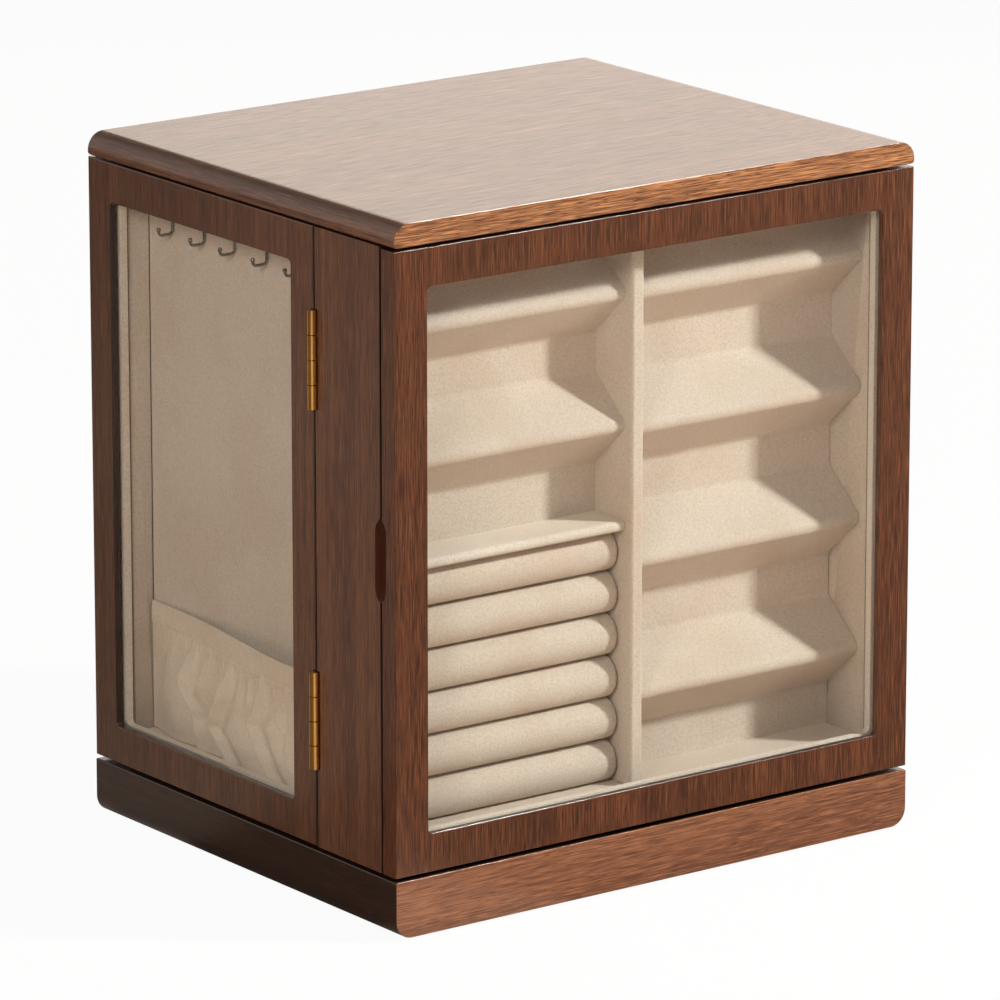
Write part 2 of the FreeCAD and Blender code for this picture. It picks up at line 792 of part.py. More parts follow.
def hook_path():
    """Centre line of one wire hook: out of the board, down, outwards and up at the tip."""
    x0 = -velvet_face + hook_in_board
    x1 = -velvet_face - hook_stand_off
    x2 = -velvet_face - hook_stand_off - hook_reach
    z0 = lined_ceiling - hook_root_below_top
    z1 = z0 - hook_drop
    z2 = z1 + hook_tip_rise + hook_bend
    corners = [V(x0, 0, z0), V(x1, 0, z0), V(x1, 0, z1), V(x2, 0, z1), V(x2, 0, z2)]
    bends = [hook_stand_off, hook_bend, hook_bend]
    edges = []
    start = corners[0]
    for index, bend in enumerate(bends):
        before, corner, after = corners[index:index + 3]
        into = (corner - before).normalize()
        out = (after - corner).normalize()
        arc_in = corner - into * bend
        arc_out = corner + out * bend
        centre = corner + (out - into) * bend
        arc_mid = centre - (out - into).normalize() * bend
        if (arc_in - start).Length > 0.001:
            edges.append(Part.makeLine(start, arc_in))
        edges.append(Part.Arc(arc_in, arc_mid, arc_out).toShape())
        start = arc_out
    edges.append(Part.makeLine(start, corners[-1]))
    return Part.Wire(edges)


def hook_places():
    middle = (side_liner_front + side_liner_back) / 2
    return [middle + (index - (hook_count - 1) / 2) * hook_pitch for index in range(hook_count)]


def necklace_hooks():
    path = hook_path()
    section = Part.Wire(Part.makeCircle(hook_wire_radius, path.Vertexes[0].Point, V(1, 0, 0)))
    wire = path.makePipeShell([section], True, False)
    tip = path.Vertexes[-1].Point
    hook = wire.fuse(Part.makeSphere(hook_wire_radius, tip)).removeSplitter()
    return [moved(hook, 0, y, 0) for y in hook_places()]


def necklace_board():
    sheet = span(-velvet_face, -core_outer, partition_back, frame_front, inner_floor, inner_ceiling)
    level = lined_ceiling - hook_root_below_top
    for y in hook_places():
        hole = Part.makeCylinder(hook_wire_radius + screw_fit, hook_in_board + 1,
                                 V(-velvet_face - 1, y, level), V(1, 0, 0))
        sheet = sheet.cut(hole)
    return sheet


def pocket_section(level, bulge, fold):
    """One level of the pocket: a wavy strip of cloth that stands out most towards its front end."""
    y0 = side_liner_front + pocket_clearance
    y1 = side_liner_back - pocket_clearance
    count = 2 * pocket_fold_count
    face_x = -velvet_face - pocket_clearance - pocket_cloth

    def swell(share):
        return math.sin(math.pi * share ** pocket_bulge_lean)

    def place(share, sideways, cloth):
        x = face_x - bulge * swell(share) ** 2 - sideways + cloth
        return V(x, y0 + (y1 - y0) * share, level)

    outer, inner = [], []
    for index in range(count):
        lean = fold if index % 2 else -fold
        shares = [(index + step / 2) / count for step in range(3)]
        leans = [0, lean * swell(shares[1]), 0]
        for row, cloth in ((outer, 0), (inner, pocket_cloth)):
            a, b, c = [place(share, side, cloth) for share, side in zip(shares, leans)]
            row.append(Part.Arc(a, b, c).toShape())
    first = Part.makeLine(place(0, 0, pocket_cloth), place(0, 0, 0))
    last = Part.makeLine(place(1, 0, 0), place(1, 0, pocket_cloth))
    return Part.Wire([first] + outer + [last] + inner[::-1])


def pocket():
    """Gathered cloth: a flatter hem above, folds that deepen below it and close in on the floor."""
    bottom = lined_floor + pocket_clearance
    top = lined_floor + pocket_height
    hem = top - pocket_hem
    levels = [(bottom, 0.8, 0.7), ((bottom + hem) / 2, 1.0, 1.0), (hem, 0.95, 0.75), (top, 1.0, 0.2)]
    sections = [pocket_section(level, bulge * pocket_bulge, fold * pocket_fold_depth)
                for level, bulge, fold in levels]
    return Part.makeLoft(sections, True, True)


def side_compartment_parts():
    liners = Part.makeCompound(side_liner_boards())
    hooks = Part.makeCompound(necklace_hooks())
    sheet = necklace_board()
    cloth = pocket()
    return {
        "left_liner_boards": liners, "right_liner_boards": mirrored(liners),
        "necklace_board_left": sheet, "necklace_board_right": mirrored(sheet),
        "necklace_hooks_left": hooks, "necklace_hooks_right": mirrored(hooks),
        "pocket_left": cloth, "pocket_right": mirrored(cloth),
    }


# Drawers

def open_tray(x, y0, y1, z0, z1, wall, floor):
    tray = span(-x, x, y0, y1, z0, z1)
    return tray.cut(span(-x + wall, x - wall, y0 + wall, y1 - wall, z0 + floor, z1 + 1))


def drawer_parts(index):
    bay_low, bay_height = drawer_bay(index)
    fronts_height = inner_ceiling - inner_floor
    front_height = (fronts_height - (drawer_count + 1) * drawer_front_gap) / drawer_count
    front_low = inner_floor + drawer_front_gap + index * (front_height + drawer_front_gap)
    front_top = front_low + front_height
    half_front = core_inner - drawer_front_gap
    scoop = Part.makeCylinder(scoop_radius, back_frame_thickness + 2 * drawer_wall,
                              V(0, half_depth + drawer_wall, front_top), V(0, -1, 0))
    front = span(-half_front, half_front, frame_front, half_depth, front_low, front_top)
    front = rounded(front, edge_break, lambda mid, edge: near(mid.y, half_depth))
    front = front.cut(scoop)
    box_low = bay_low + drawer_floor_gap
    box_top = bay_low + bay_height - drawer_above
    half_box = core_inner - drawer_side_gap
    box_back = partition_back + drawer_back_gap
    box = open_tray(half_box, box_back, frame_front, box_low, box_top, drawer_wall, drawer_bottom)
    box = box.cut(scoop)
    inset = drawer_wall + drawer_lining_clearance
    lining = open_tray(half_box - inset, box_back + inset, frame_front - inset, box_low + drawer_bottom,
                       box_top - drawer_lining_below_edge, drawer_lining, drawer_lining)
    number = str(index + 1)
    return {"drawer_front_" + number: front, "drawer_box_" + number: box,
            "drawer_lining_" + number: lining}


def all_parts():
    parts = {}
    for group in (base_parts(), bearing_parts(), carcass_parts(), front_compartment_parts(),
                  side_compartment_parts(), fixed_hardware()):
        parts.update(group)
    for door in ("front", "left", "right"):
        parts.update(door_parts(door))
    for index in range(drawer_count):
        parts.update(drawer_parts(index))
    return parts


os.makedirs("parts", exist_ok=True)
for node, shape in all_parts().items():
    shape.exportStep("parts/" + node + ".step")
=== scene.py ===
import json
import math

import bmesh
import bpy
from bpy.props import FloatProperty, FloatVectorProperty, IntProperty, PointerProperty
from mathutils import Matrix, Vector


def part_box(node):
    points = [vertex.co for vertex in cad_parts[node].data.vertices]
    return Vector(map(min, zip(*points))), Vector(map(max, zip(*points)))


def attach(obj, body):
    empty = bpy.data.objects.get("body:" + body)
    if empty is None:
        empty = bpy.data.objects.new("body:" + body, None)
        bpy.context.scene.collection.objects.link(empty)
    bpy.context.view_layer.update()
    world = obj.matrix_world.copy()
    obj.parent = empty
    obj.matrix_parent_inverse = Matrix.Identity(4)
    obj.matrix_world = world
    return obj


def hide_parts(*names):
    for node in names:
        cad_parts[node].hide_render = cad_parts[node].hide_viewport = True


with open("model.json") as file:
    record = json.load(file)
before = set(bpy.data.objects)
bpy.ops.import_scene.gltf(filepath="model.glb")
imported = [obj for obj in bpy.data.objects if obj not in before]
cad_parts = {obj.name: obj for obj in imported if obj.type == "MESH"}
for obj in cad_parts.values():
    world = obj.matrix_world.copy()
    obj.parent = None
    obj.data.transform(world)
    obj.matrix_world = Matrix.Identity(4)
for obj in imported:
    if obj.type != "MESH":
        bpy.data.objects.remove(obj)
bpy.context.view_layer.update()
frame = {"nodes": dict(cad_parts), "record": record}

bl_info = {
    "name": "Rotating jewelry box",
    "version": (1, 0, 0),
    "blender": (4, 5, 0),
    "location": "3D View > Sidebar > Jewelry box",
    "description": "Walnut veneer, velvet, glass, brass and gathered pockets for a rotating jewelry box",
    "category": "Object",
}

MM = 0.001
SIDES = ("left", "right")
DOORS = ("front", "left", "right")
DRAWERS = ("1", "2", "3")


def linear(hex_colour):
    """An sRGB hex colour as linear red, green and blue."""
    channels = [int(hex_colour[i : i + 2], 16) / 255 for i in (1, 3, 5)]
    return tuple(c / 12.92 if c <= 0.04045 else ((c + 0.055) / 1.055) ** 2.4 for c in channels)


def opaque(colour):
    return (*colour, 1.0)


def colour_property(name, text, hex_colour):
    return FloatVectorProperty(
        name=name, description=text, subtype="COLOR", size=3, min=0, max=1, default=linear(hex_colour)
    )


def number_property(name, text, value, subtype="NONE", low=0.0, unit="NONE"):
    return FloatProperty(name=name, description=text, subtype=subtype, unit=unit, min=low, default=value)


def length_property(name, text, millimetres, low=0.0):
    return number_property(name, text, millimetres * MM, "DISTANCE", low, "LENGTH")


def angle_property(name, text, degrees):
    return number_property(name, text, math.radians(degrees), "ANGLE")


def share_property(name, text, value):
    return FloatProperty(name=name, description=text, min=0, max=1, default=value)


class WalnutLook(bpy.types.PropertyGroup):
    """Walnut veneer under a satin lacquer"""

    dark: colour_property("Dark streaks", "Late wood and dark streaks in the veneer", "#3D251B")
    body: colour_property("Body", "The veneer's main brown", "#5B3926")
    pale: colour_property("Pale streaks", "Pale streaks between the dark ones", "#7A5238")
    pore: colour_property("Pores", "Short dark vessels cut open along the grain", "#2A150C")
    end_grain: colour_property("End grain", "Wood cut across the grain, which drinks more stain", "#2E1A10")
    bare: colour_property("Notch", "Stained solid wood inside the finger notches", "#4E2B1D")
    figure_width: length_property("Figure width", "Width of one dark or pale streak", 7.0)
    fibre_width: length_property("Fibre width", "Width of one bundle of fibres", 0.5)
    fibre_length: length_property("Fibre length", "Length of one bundle of fibres", 14.0)
    pore_width: length_property("Pore width", "Width of one open vessel, drawn coarse enough to see", 0.42)
    pore_length: length_property("Pore length", "Length of one open vessel", 7.0)
    roughness: share_property("Roughness", "Satin lacquer", 0.34)


class VelvetLook(bpy.types.PropertyGroup):
    """Short-pile velvet on the boards, rolls and tiers"""

    colour: colour_property("Colour", "Beige velvet in full light", "#D9CCBF")
    brushed: colour_property("Brushed", "Velvet where the pile lies the other way", "#CDB8A4")
    # The velvet of the shelf and the beads is the same cloth as the boards', drawn paler as painted light
    # where it catches the lamps. The hem thread takes this colour too.
    shelf: colour_property("Shelf", "The paler velvet on the ring shelf", "#E6DDD2")
    pocket: colour_property("Pocket", "The thinner cloth of the pockets", "#E8D9C9")
    pile: length_property("Pile", "Size of one tuft, drawn coarse enough to see", 0.8)
    edge_radius: length_property("Edge radius", "How round velvet makes a board's edge", 0.7)


class MetalLook(bpy.types.PropertyGroup):
    """Hinges, hooks and the bearing"""

    brass: colour_property("Brass", "Polished hinge brass", "#EAB266")
    zinc: colour_property("Zinc plate", "Bearing plates, balls and screws", "#B9BABD")
    wire: colour_property("Hook wire", "Plated wire of the necklace hooks", "#857F77")
    edge_radius: length_property("Edge radius", "Broken edges of the hinge knuckles", 0.16)


class GlassLook(bpy.types.PropertyGroup):
    """Clear door panes"""

    tint: colour_property("Tint", "What each face of the pane lets through", "#FDFEFD")
    shine: share_property("Shine", "Share that a pane mirrors head on", 0.04)


class PocketSizes(bpy.types.PropertyGroup):
    """Gathered necklace pockets"""

    hem: length_property("Hem", "Height of the elastic hem", 9.5)
    shirring: length_property("Shirring", "Distance between two fine pleats of the hem", 2.1)
    bulge: length_property("Bulge", "How far the hem stands off the board at most", 7.4)
    belly: length_property("Belly", "How far the cloth below the hem stands off the board", 9.4)
    sag: length_property("Sag", "How far the top edge hangs below its ends", 1.6)
    cloth: length_property("Cloth", "Thickness of the cloth", 0.7)
    stitch_pitch: length_property("Stitch pitch", "Distance between two hem stitches", 2.4)
    shift: length_property("Shift", "How far the right pocket's folds differ from the left's", 17.0)


class RollSizes(bpy.types.PropertyGroup):
    """Padded rolls that hold rings"""

    end_radius: length_property("End radius", "How round the ends of a roll are", 3.0)
    crown: length_property("Crown", "How much fuller a roll is in the middle", 0.35)
    unevenness: length_property("Unevenness", "How much the foam under the velvet varies", 0.2)
    count: IntProperty(name="Rolls", description="Rolls below the shelf", default=6, min=1)


class HookSizes(bpy.types.PropertyGroup):
    """Bent wire hooks for necklaces"""

    wire_radius: length_property("Wire radius", "Half the thickness of the wire", 0.6)
    bend: length_property("Bend", "Radius of the wire's bends", 1.8)
    tip_radius: length_property("Tip radius", "The ball that keeps a chain on the hook", 0.9)
    tip: length_property("Tip", "How far the tip turns up", 2.3)
    spread: angle_property("Spread", "How unevenly the wires are bent by hand", 3)
    count: IntProperty(name="Hooks", description="Hooks in one compartment", default=6, min=1)


class StageLook(bpy.types.PropertyGroup):
    """Camera, floor and lamps"""

    azimuth: angle_property("Azimuth", "How far round to the left it stands", 36.569)
    pitch: angle_property("Pitch", "How far the camera looks down", 14.935)
    distance: length_property("Distance", "From the camera to the target", 2955.9)
    height: length_property("Target height", "Height of the point that the camera turns about", 145.0)
    rise: length_property("Rise", "How far the camera is moved up its own picture", -14.02, low=-1.0)
    lens: number_property("Lens", "Focal length on a 36 mm sensor, in mm", 273.72)
    key: number_property("Key lamp", "Power of the lamp at the right", 35.0, "POWER")
    shine: number_property("Edge shine", "Power of the lamp that shiny edges catch", 45.0, "POWER")
    fill: number_property("Fill lamp", "Power of the lamp at the left", 10.8, "POWER")
    window: number_property("Window", "Power of the wide white wall behind, to the right", 8.6, "POWER")
    room: number_property("Room light", "Strength of the room's even light", 0.14)
    back_glow: number_property("Back glow", "How bright the wall behind is in a shiny face", 0.15)
    side_glow: number_property("Side glow", "How bright the wall at the left is in a shiny face", 0.6)
    front_glow: number_property("Front glow", "How bright the studio in front is in a shiny face", 0.1)
    bounce: number_property("Bounce", "Light that the overexposed floor adds from below", 0.15)


class BoxSettings(bpy.types.PropertyGroup):
    """All sizes and colours of the box's looks"""

    walnut: PointerProperty(type=WalnutLook)
    velvet: PointerProperty(type=VelvetLook)
    metal: PointerProperty(type=MetalLook)
    glass: PointerProperty(type=GlassLook)
    pocket: PointerProperty(type=PocketSizes)
    roll: PointerProperty(type=RollSizes)
    hook: PointerProperty(type=HookSizes)
    stage: PointerProperty(type=StageLook)


def add(tree, kind, inputs=None, **attributes):
    """A node with its settings; an input takes a number, a colour or another node's socket."""
    node = tree.nodes.new(kind)
    for name, value in attributes.items():
        setattr(node, name, value)
    for key, value in (inputs or {}).items():
        if isinstance(value, bpy.types.NodeSocket):
            tree.links.new(value, node.inputs[key])
        else:
            node.inputs[key].default_value = value
    return node


def new_material(name):
    """An empty node material and its tree."""
    material = bpy.data.materials.new(name)
    material.use_nodes = True
    material.node_tree.nodes.clear()
    return material, material.node_tree


def finish_material(tree, shader):
    add(tree, "ShaderNodeOutputMaterial", {"Surface": shader})


def finished(material, tree, settings):
    """A material that ends in the main shader with these settings."""
    finish_material(tree, add(tree, "ShaderNodeBsdfPrincipled", settings).outputs[0])
    return material


def object_place(tree):
    return add(tree, "ShaderNodeTexCoord").outputs["Object"]


def noise(tree, place, scale, detail=2.0, **more):
    settings = {"Vector": place, "Scale": scale, "Detail": detail, **more}
    return add(tree, "ShaderNodeTexNoise", settings).outputs["Fac"]


def maths(tree, operation, *values):
    """Arithmetic on numbers or sockets."""
    return add(tree, "ShaderNodeMath", dict(enumerate(values)), operation=operation).outputs[0]


def vector_maths(tree, operation, *values):
    node = add(tree, "ShaderNodeVectorMath", dict(enumerate(values)), operation=operation)
    return node.outputs["Value" if operation == "DOT_PRODUCT" else "Vector"]


def scaled(tree, vector, factor):
    return add(tree, "ShaderNodeVectorMath", {0: vector, 3: factor}, operation="SCALE").outputs[0]


def relief(tree, height, strength, distance):
    """The normals of a surface whose bumps are so many metres high."""
    bump = {"Height": height, "Strength": strength, "Distance": distance}
    return add(tree, "ShaderNodeBump", bump).outputs["Normal"]


def light(tree, kind, hex_colour, strength):
    """A shader that shines; its kind is Background or Emission."""
    settings = {"Color": opaque(linear(hex_colour)), "Strength": strength}
    return add(tree, "ShaderNode" + kind, settings).outputs[0]


def either(tree, share, first, second):
    """A blend of two shaders."""
    return add(tree, "ShaderNodeMixShader", {0: share, 1: first, 2: second}).outputs[0]


def times(colour, factor):
    return tuple(min(c * factor, 1.0) for c in colour)


# Walnut: sliced veneer under satin lacquer. Streaks a few millimetres wide run along the grain, with
# finer fibres and short dark pores between them, and the lacquer gives an even, soft shine.


def grain_space(tree, along, origin=(0, 0, 0)):
    """Object coordinates turned so that the grain runs along the local Z axis."""
    turn = {"x": (0, math.pi / 2, 0), "y": (math.pi / 2, 0, 0), "z": (0, 0, 0)}[along]
    mapping = {"Vector": object_place(tree), "Location": origin, "Rotation": turn}
    return add(tree, "ShaderNodeMapping", mapping).outputs["Vector"]


def streaks(tree, place, across, along, detail, seed):
    """Noise drawn out along the grain; across and along are the real sizes of one streak."""
    stretch = {"Vector": place, "Scale": (1 / across, 1 / across, 1 / along)}
    drawn = add(tree, "ShaderNodeMapping", stretch).outputs["Vector"]
    settings = {"Vector": drawn, "W": seed, "Scale": 1.0, "Detail": detail, "Roughness": 0.55}
    return add(tree, "ShaderNodeTexNoise", settings, noise_dimensions="4D").outputs["Fac"]


def ramp(tree, factor, *stops):
    """A colour ramp with (position, colour) stops."""
    node = add(tree, "ShaderNodeValToRGB", {"Fac": factor})
    elements = node.color_ramp.elements
    while len(elements) < len(stops):
        elements.new(0.5)
    for element, (position, colour) in zip(elements, stops):
        element.position = position
        element.color = opaque(colour)
    return node.outputs["Color"]


def mixed(tree, factor, first, second):
    """A blend of two colours; each is a socket or a colour."""
    node = add(tree, "ShaderNodeMix", data_type="RGBA")
    for index, value in ((0, factor), (6, first), (7, second)):
        if isinstance(value, bpy.types.NodeSocket):
            tree.links.new(value, node.inputs[index])
        else:
            node.inputs[index].default_value = value if index == 0 else opaque(value)
    return node.outputs[2]


def mapped(tree, value, low, high, to_low=0.0, to_high=1.0, smooth=False):
    """A value scaled from one range to another, and clamped."""
    kind = "SMOOTHSTEP" if smooth else "LINEAR"
    limits = {"Value": value, "From Min": low, "From Max": high, "To Min": to_low, "To Max": to_high}
    return add(tree, "ShaderNodeMapRange", limits, interpolation_type=kind).outputs["Result"]


def facing_along(tree, axis):
    """How much the surface faces along an axis of the object: either way, or backwards for "-y"."""
    normal = add(tree, "ShaderNodeTexCoord").outputs["Normal"]
    part = add(tree, "ShaderNodeSeparateXYZ", {"Vector": normal}).outputs[axis[-1].upper()]
    if axis[0] == "-":
        return maths(tree, "MULTIPLY", part, -1.0)
    return maths(tree, "ABSOLUTE", part)


def swayed(tree, place, sway):
    """Places pushed about by slow noise, so that straight grain bends into arches."""
    drift = {"Vector": place, "Scale": 3.2, "Detail": 1.0}
    bend = add(tree, "ShaderNodeTexNoise", drift).outputs["Color"]
    centred = vector_maths(tree, "SUBTRACT", bend, (0.5, 0.5, 0.5))
    return vector_maths(tree, "ADD", place, scaled(tree, centred, sway))


# Shares of the figure's width, and lengths along the grain, of the two sizes of streak.
BROAD_STREAK = (2.2, 350 * MM)
NARROW_STREAK = (0.35, 90 * MM)
# Strips of solid wood have a finer figure than the veneer.
STRIP_FIGURE = 0.6


def grain_colour(tree, look, place, tone, figure, contrast):
    """Colour of one sheet of walnut whose grain runs along Z, with its fibres and pores. tone is a
    number, or red, green and blue ones."""
    width = look.figure_width * figure
    tones = tone if isinstance(tone, tuple) else (tone,) * 3
    dark, body, pale, pore = (
        tuple(min(c * t, 1.0) for c, t in zip(colour, tones))
        for colour in (look.dark, look.body, look.pale, look.pore)
    )
    broad = streaks(tree, place, width * BROAD_STREAK[0], BROAD_STREAK[1], 2.0, 1.0)
    narrow = streaks(tree, place, width * NARROW_STREAK[0], NARROW_STREAK[1], 3.0, 2.0)
    fibres = streaks(tree, place, look.fibre_width, look.fibre_length, 2.0, 3.0)
    pores = streaks(tree, place, look.pore_width, look.pore_length, 1.0, 4.0)
    colour = ramp(tree, mixed(tree, 0.5, broad, narrow), (0.24, dark), (0.5, body), (0.76, pale))
    colour = mixed(tree, mapped(tree, fibres, 0.5, 0.66, 0.0, 0.75 * contrast), colour, dark)
    colour = mixed(tree, mapped(tree, fibres, 0.48, 0.34, 0.0, 0.65 * contrast), colour, pale)
    colour = mixed(tree, mapped(tree, pores, 0.6, 0.7, 0.0, 0.5 * contrast, smooth=True), colour, pore)
    return colour, fibres, pores


def walnut(look, name, along, origin=(0, 0, 0), tone=1.0, figure=1.0, contrast=1.0, sway=0.0, strips=()):
    """Walnut veneer. tone lightens it, figure widens its streaks, contrast strengthens its fibres and
    sway bends them. strips are (face axis, grain axis, tone, contrast) of wood of another tone on such
    faces: solid wood, or painted shade on faces in a seam or gap."""
    material, tree = new_material(name)
    place = grain_space(tree, along, origin)
    if sway:
        place = swayed(tree, place, sway)
    colour, fibres, pores = grain_colour(tree, look, place, tone, figure, contrast)
    ends = mapped(tree, facing_along(tree, along), 0.55, 0.95, 0.0, 0.85, smooth=True)
    colour = mixed(tree, ends, colour, tuple(look.end_grain))
    for face, grain, strip_tone, strip_contrast in strips:
        strip_place = grain_space(tree, grain, origin)
        strip = grain_colour(tree, look, strip_place, strip_tone, STRIP_FIGURE, strip_contrast)[0]
        on_strip = mapped(tree, facing_along(tree, face), 0.12, 0.3, smooth=True)
        colour = mixed(tree, on_strip, colour, strip)
    satin = mapped(tree, fibres, 0.35, 0.7, look.roughness - 0.04, look.roughness + 0.08)
    return finished(material, tree, {
        "Base Color": colour,
        "Roughness": satin,
        "Normal": relief(tree, mixed(tree, 0.5, fibres, pores), 0.22, 0.2 * MM),
        "IOR": 1.5,
        "Coat Weight": 0.5,
        "Coat Roughness": 0.13,
    })


# The wood inside the finger notches is stained solid walnut without veneer.


def stained_notch(look):
    material, tree = new_material("stained_notch_walnut")
    place = grain_space(tree, "z", (0.4, 0.2, 0.6))
    fibres = streaks(tree, place, look.fibre_width, look.fibre_length, 2.0, 7.0)
    return finished(material, tree, {
        "Base Color": mixed(tree, mapped(tree, fibres, 0.4, 0.7), tuple(look.bare), times(look.bare, 1.4)),
        "Roughness": 0.42,
        "Coat Weight": 0.5,
        "Coat Roughness": 0.25,
    })


# Plywood and core boards: the same wood family without lacquer, paler and quite matt.


def inner_board(look, name):
    material, tree = new_material(name)
    place = grain_space(tree, "y")
    broad = streaks(tree, place, 12 * MM, 250 * MM, 2.0, 5.0)
    fibres = streaks(tree, place, 0.6 * MM, 12 * MM, 2.0, 6.0)
    tone = ramp(tree, broad, (0.38, linear("#8A6244")), (0.62, linear("#A97E58")))
    tone = mixed(tree, mapped(tree, fibres, 0.4, 0.7, 0.0, 0.35), tone, look.body)
    return finished(material, tree, {"Base Color": tone, "Roughness": 0.68, "Specular IOR Level": 0.35})


# Velvet: a short dense pile. It is matt, brightens at grazing angles, and shows faint patches where
# the pile was brushed the other way.


def velvet(look, name, colour, sheen=0.35, pile=1.0):
    material, tree = new_material(name)
    place = object_place(tree)
    patch = noise(tree, place, 1 / (35 * MM), Distortion=0.4)
    tuft = noise(tree, place, 1 / (look.pile * pile), 3.0, Roughness=0.7)
    brushed = tuple(c * b / max(a, 0.001) for c, b, a in zip(colour, look.brushed, look.colour))
    tone = mixed(tree, mapped(tree, patch, 0.42, 0.66, 0.0, 0.35, smooth=True), colour, brushed)
    tone = mixed(tree, mapped(tree, tuft, 0.42, 0.7, 0.0, 0.55), tone, times(brushed, 0.72))
    return finished(material, tree, {
        "Base Color": tone,
        "Roughness": 0.95,
        "Specular IOR Level": 0.15,
        "Sheen Weight": sheen,
        "Sheen Roughness": 0.45,
        "Sheen Tint": opaque(linear("#FFF4E6")),
        "Normal": relief(tree, tuft, 0.5, 0.4 * MM),
    })


# Brass: turned and polished by machine, so fine rings run round the barrel and soften its shine.


def polished_brass(look):
    material, tree = new_material("polished_brass")
    place = object_place(tree)
    rings = add(tree, "ShaderNodeMapping", {"Vector": place, "Scale": (60, 60, 5000)}).outputs["Vector"]
    cloudy = noise(tree, place, 160.0)
    aged = tuple(c * f for c, f in zip(look.brass, (0.8, 0.74, 0.66)))
    return finished(material, tree, {
        "Base Color": mixed(tree, mapped(tree, cloudy, 0.4, 0.75, 0.0, 0.5), tuple(look.brass), aged),
        "Metallic": 1.0,
        "Roughness": mapped(tree, cloudy, 0.3, 0.7, 0.13, 0.2),
        "Normal": relief(tree, noise(tree, rings, 1.0), 0.1, 0.03 * MM),
    })


# Zinc-plated steel: a pale grey with the faint crystal pattern of plating.


def zinc_plate(look):
    material, tree = new_material("zinc_plated_steel")
    crystals = {"Vector": object_place(tree), "Scale": 420.0}
    flakes = add(tree, "ShaderNodeTexVoronoi", crystals).outputs["Color"]
    dull = times(look.zinc, 0.82)
    return finished(material, tree, {
        "Base Color": mixed(tree, mapped(tree, flakes, 0.2, 0.9, 0.0, 0.7), tuple(look.zinc), dull),
        "Metallic": 1.0,
        "Roughness": mapped(tree, flakes, 0.0, 1.0, 0.3, 0.42),
    })


# Hook wire: nickel plate, worn a little brighter in places by the chains.


def nickel_wire(look):
    material, tree = new_material("nickel_plated_wire")
    wear = mapped(tree, noise(tree, object_place(tree), 300.0), 0.45, 0.75)
    return finished(material, tree, {
        "Base Color": mixed(tree, wear, tuple(look.wire), times(look.wire, 1.6)),
        "Metallic": 1.0,
        "Roughness": 0.22,
    })


# Rubber: moulded feet, near black, with the fine matt skin of the mould.


def moulded_rubber():
    material, tree = new_material("moulded_rubber")
    skin = noise(tree, object_place(tree), 1200.0)
    return finished(material, tree, {
        "Base Color": mixed(tree, skin, linear("#1B1B1C"), linear("#2A2A2B")),
        "Roughness": 0.8,
        "Specular IOR Level": 0.3,
        "Normal": relief(tree, skin, 0.2, 0.1 * MM),
    })


# Glass: a clear float pane. It is thin, so it shows what is behind it unbent, and it mirrors the
# room more the flatter one looks along it.


def pane_glass(look):
    material, tree = new_material("clear_float_glass")
    facing = add(tree, "ShaderNodeLayerWeight", {"Blend": 0.5}).outputs["Facing"]
    mirror_share = mapped(tree, maths(tree, "POWER", facing, 5.0), 0.0, 1.0, look.shine, 1.0)
    clear = add(tree, "ShaderNodeBsdfTransparent", {"Color": opaque(look.tint)}).outputs[0]
    mirror = add(tree, "ShaderNodeBsdfGlossy", {"Color": (1, 1, 1, 1), "Roughness": 0.02}).outputs[0]
    finish_material(tree, either(tree, mirror_share, clear, mirror))
    return material


def placed(name, data):
    """A new object in the scene."""
    thing = bpy.data.objects.new(name, data)
    bpy.context.scene.collection.objects.link(thing)
    return thing


def smoothed(mesh):
    for polygon in mesh.polygons:
        polygon.use_smooth = True
    return mesh


def new_mesh(name, points, edges=(), faces=()):
    mesh = bpy.data.meshes.new(name)
    mesh.from_pydata(points, edges, faces)
    return mesh


def line_mesh(name, points):
    return new_mesh(name, points, [(i, i + 1) for i in range(len(points) - 1)])


def grid_quads(columns, rows, line):
    """Quads between neighbouring lines of so many points. Lines with as many rows are closed."""
    corners = ((i * line + j, i * line + (j + 1) % line) for i in range(columns) for j in range(rows))
    return [(a, b, b + line, a + line) for a, b in corners]


def dress(material, *nodes):
    """Give CAD nodes a material."""
    for name in nodes:
        mesh = frame["nodes"][name].data
        mesh.materials.clear()
        mesh.materials.append(material)


def body_of_node(name):
    return next(body for body, nodes in frame["record"]["behaviour"]["bodies"].items() if name in nodes)


def new_piece(name, mesh, material, body, slot, *nodes):
    """A finished piece that rides on a body and stands for CAD nodes."""
    piece = placed(name, mesh)
    mesh.materials.clear()
    mesh.materials.append(material)
    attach(piece, body)
    if nodes:
        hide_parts(*nodes)
    return piece


def applied(piece, name):
    """A plain mesh of an object with its modifiers carried out."""
    bpy.context.view_layer.update()
    evaluated = piece.evaluated_get(bpy.context.evaluated_depsgraph_get())
    mesh = bpy.data.meshes.new_from_object(evaluated)
    mesh.name = name
    return mesh


# Edges between faces that turn by more than this are sharp in the CAD solids.
SHARP_TURN = math.radians(32)


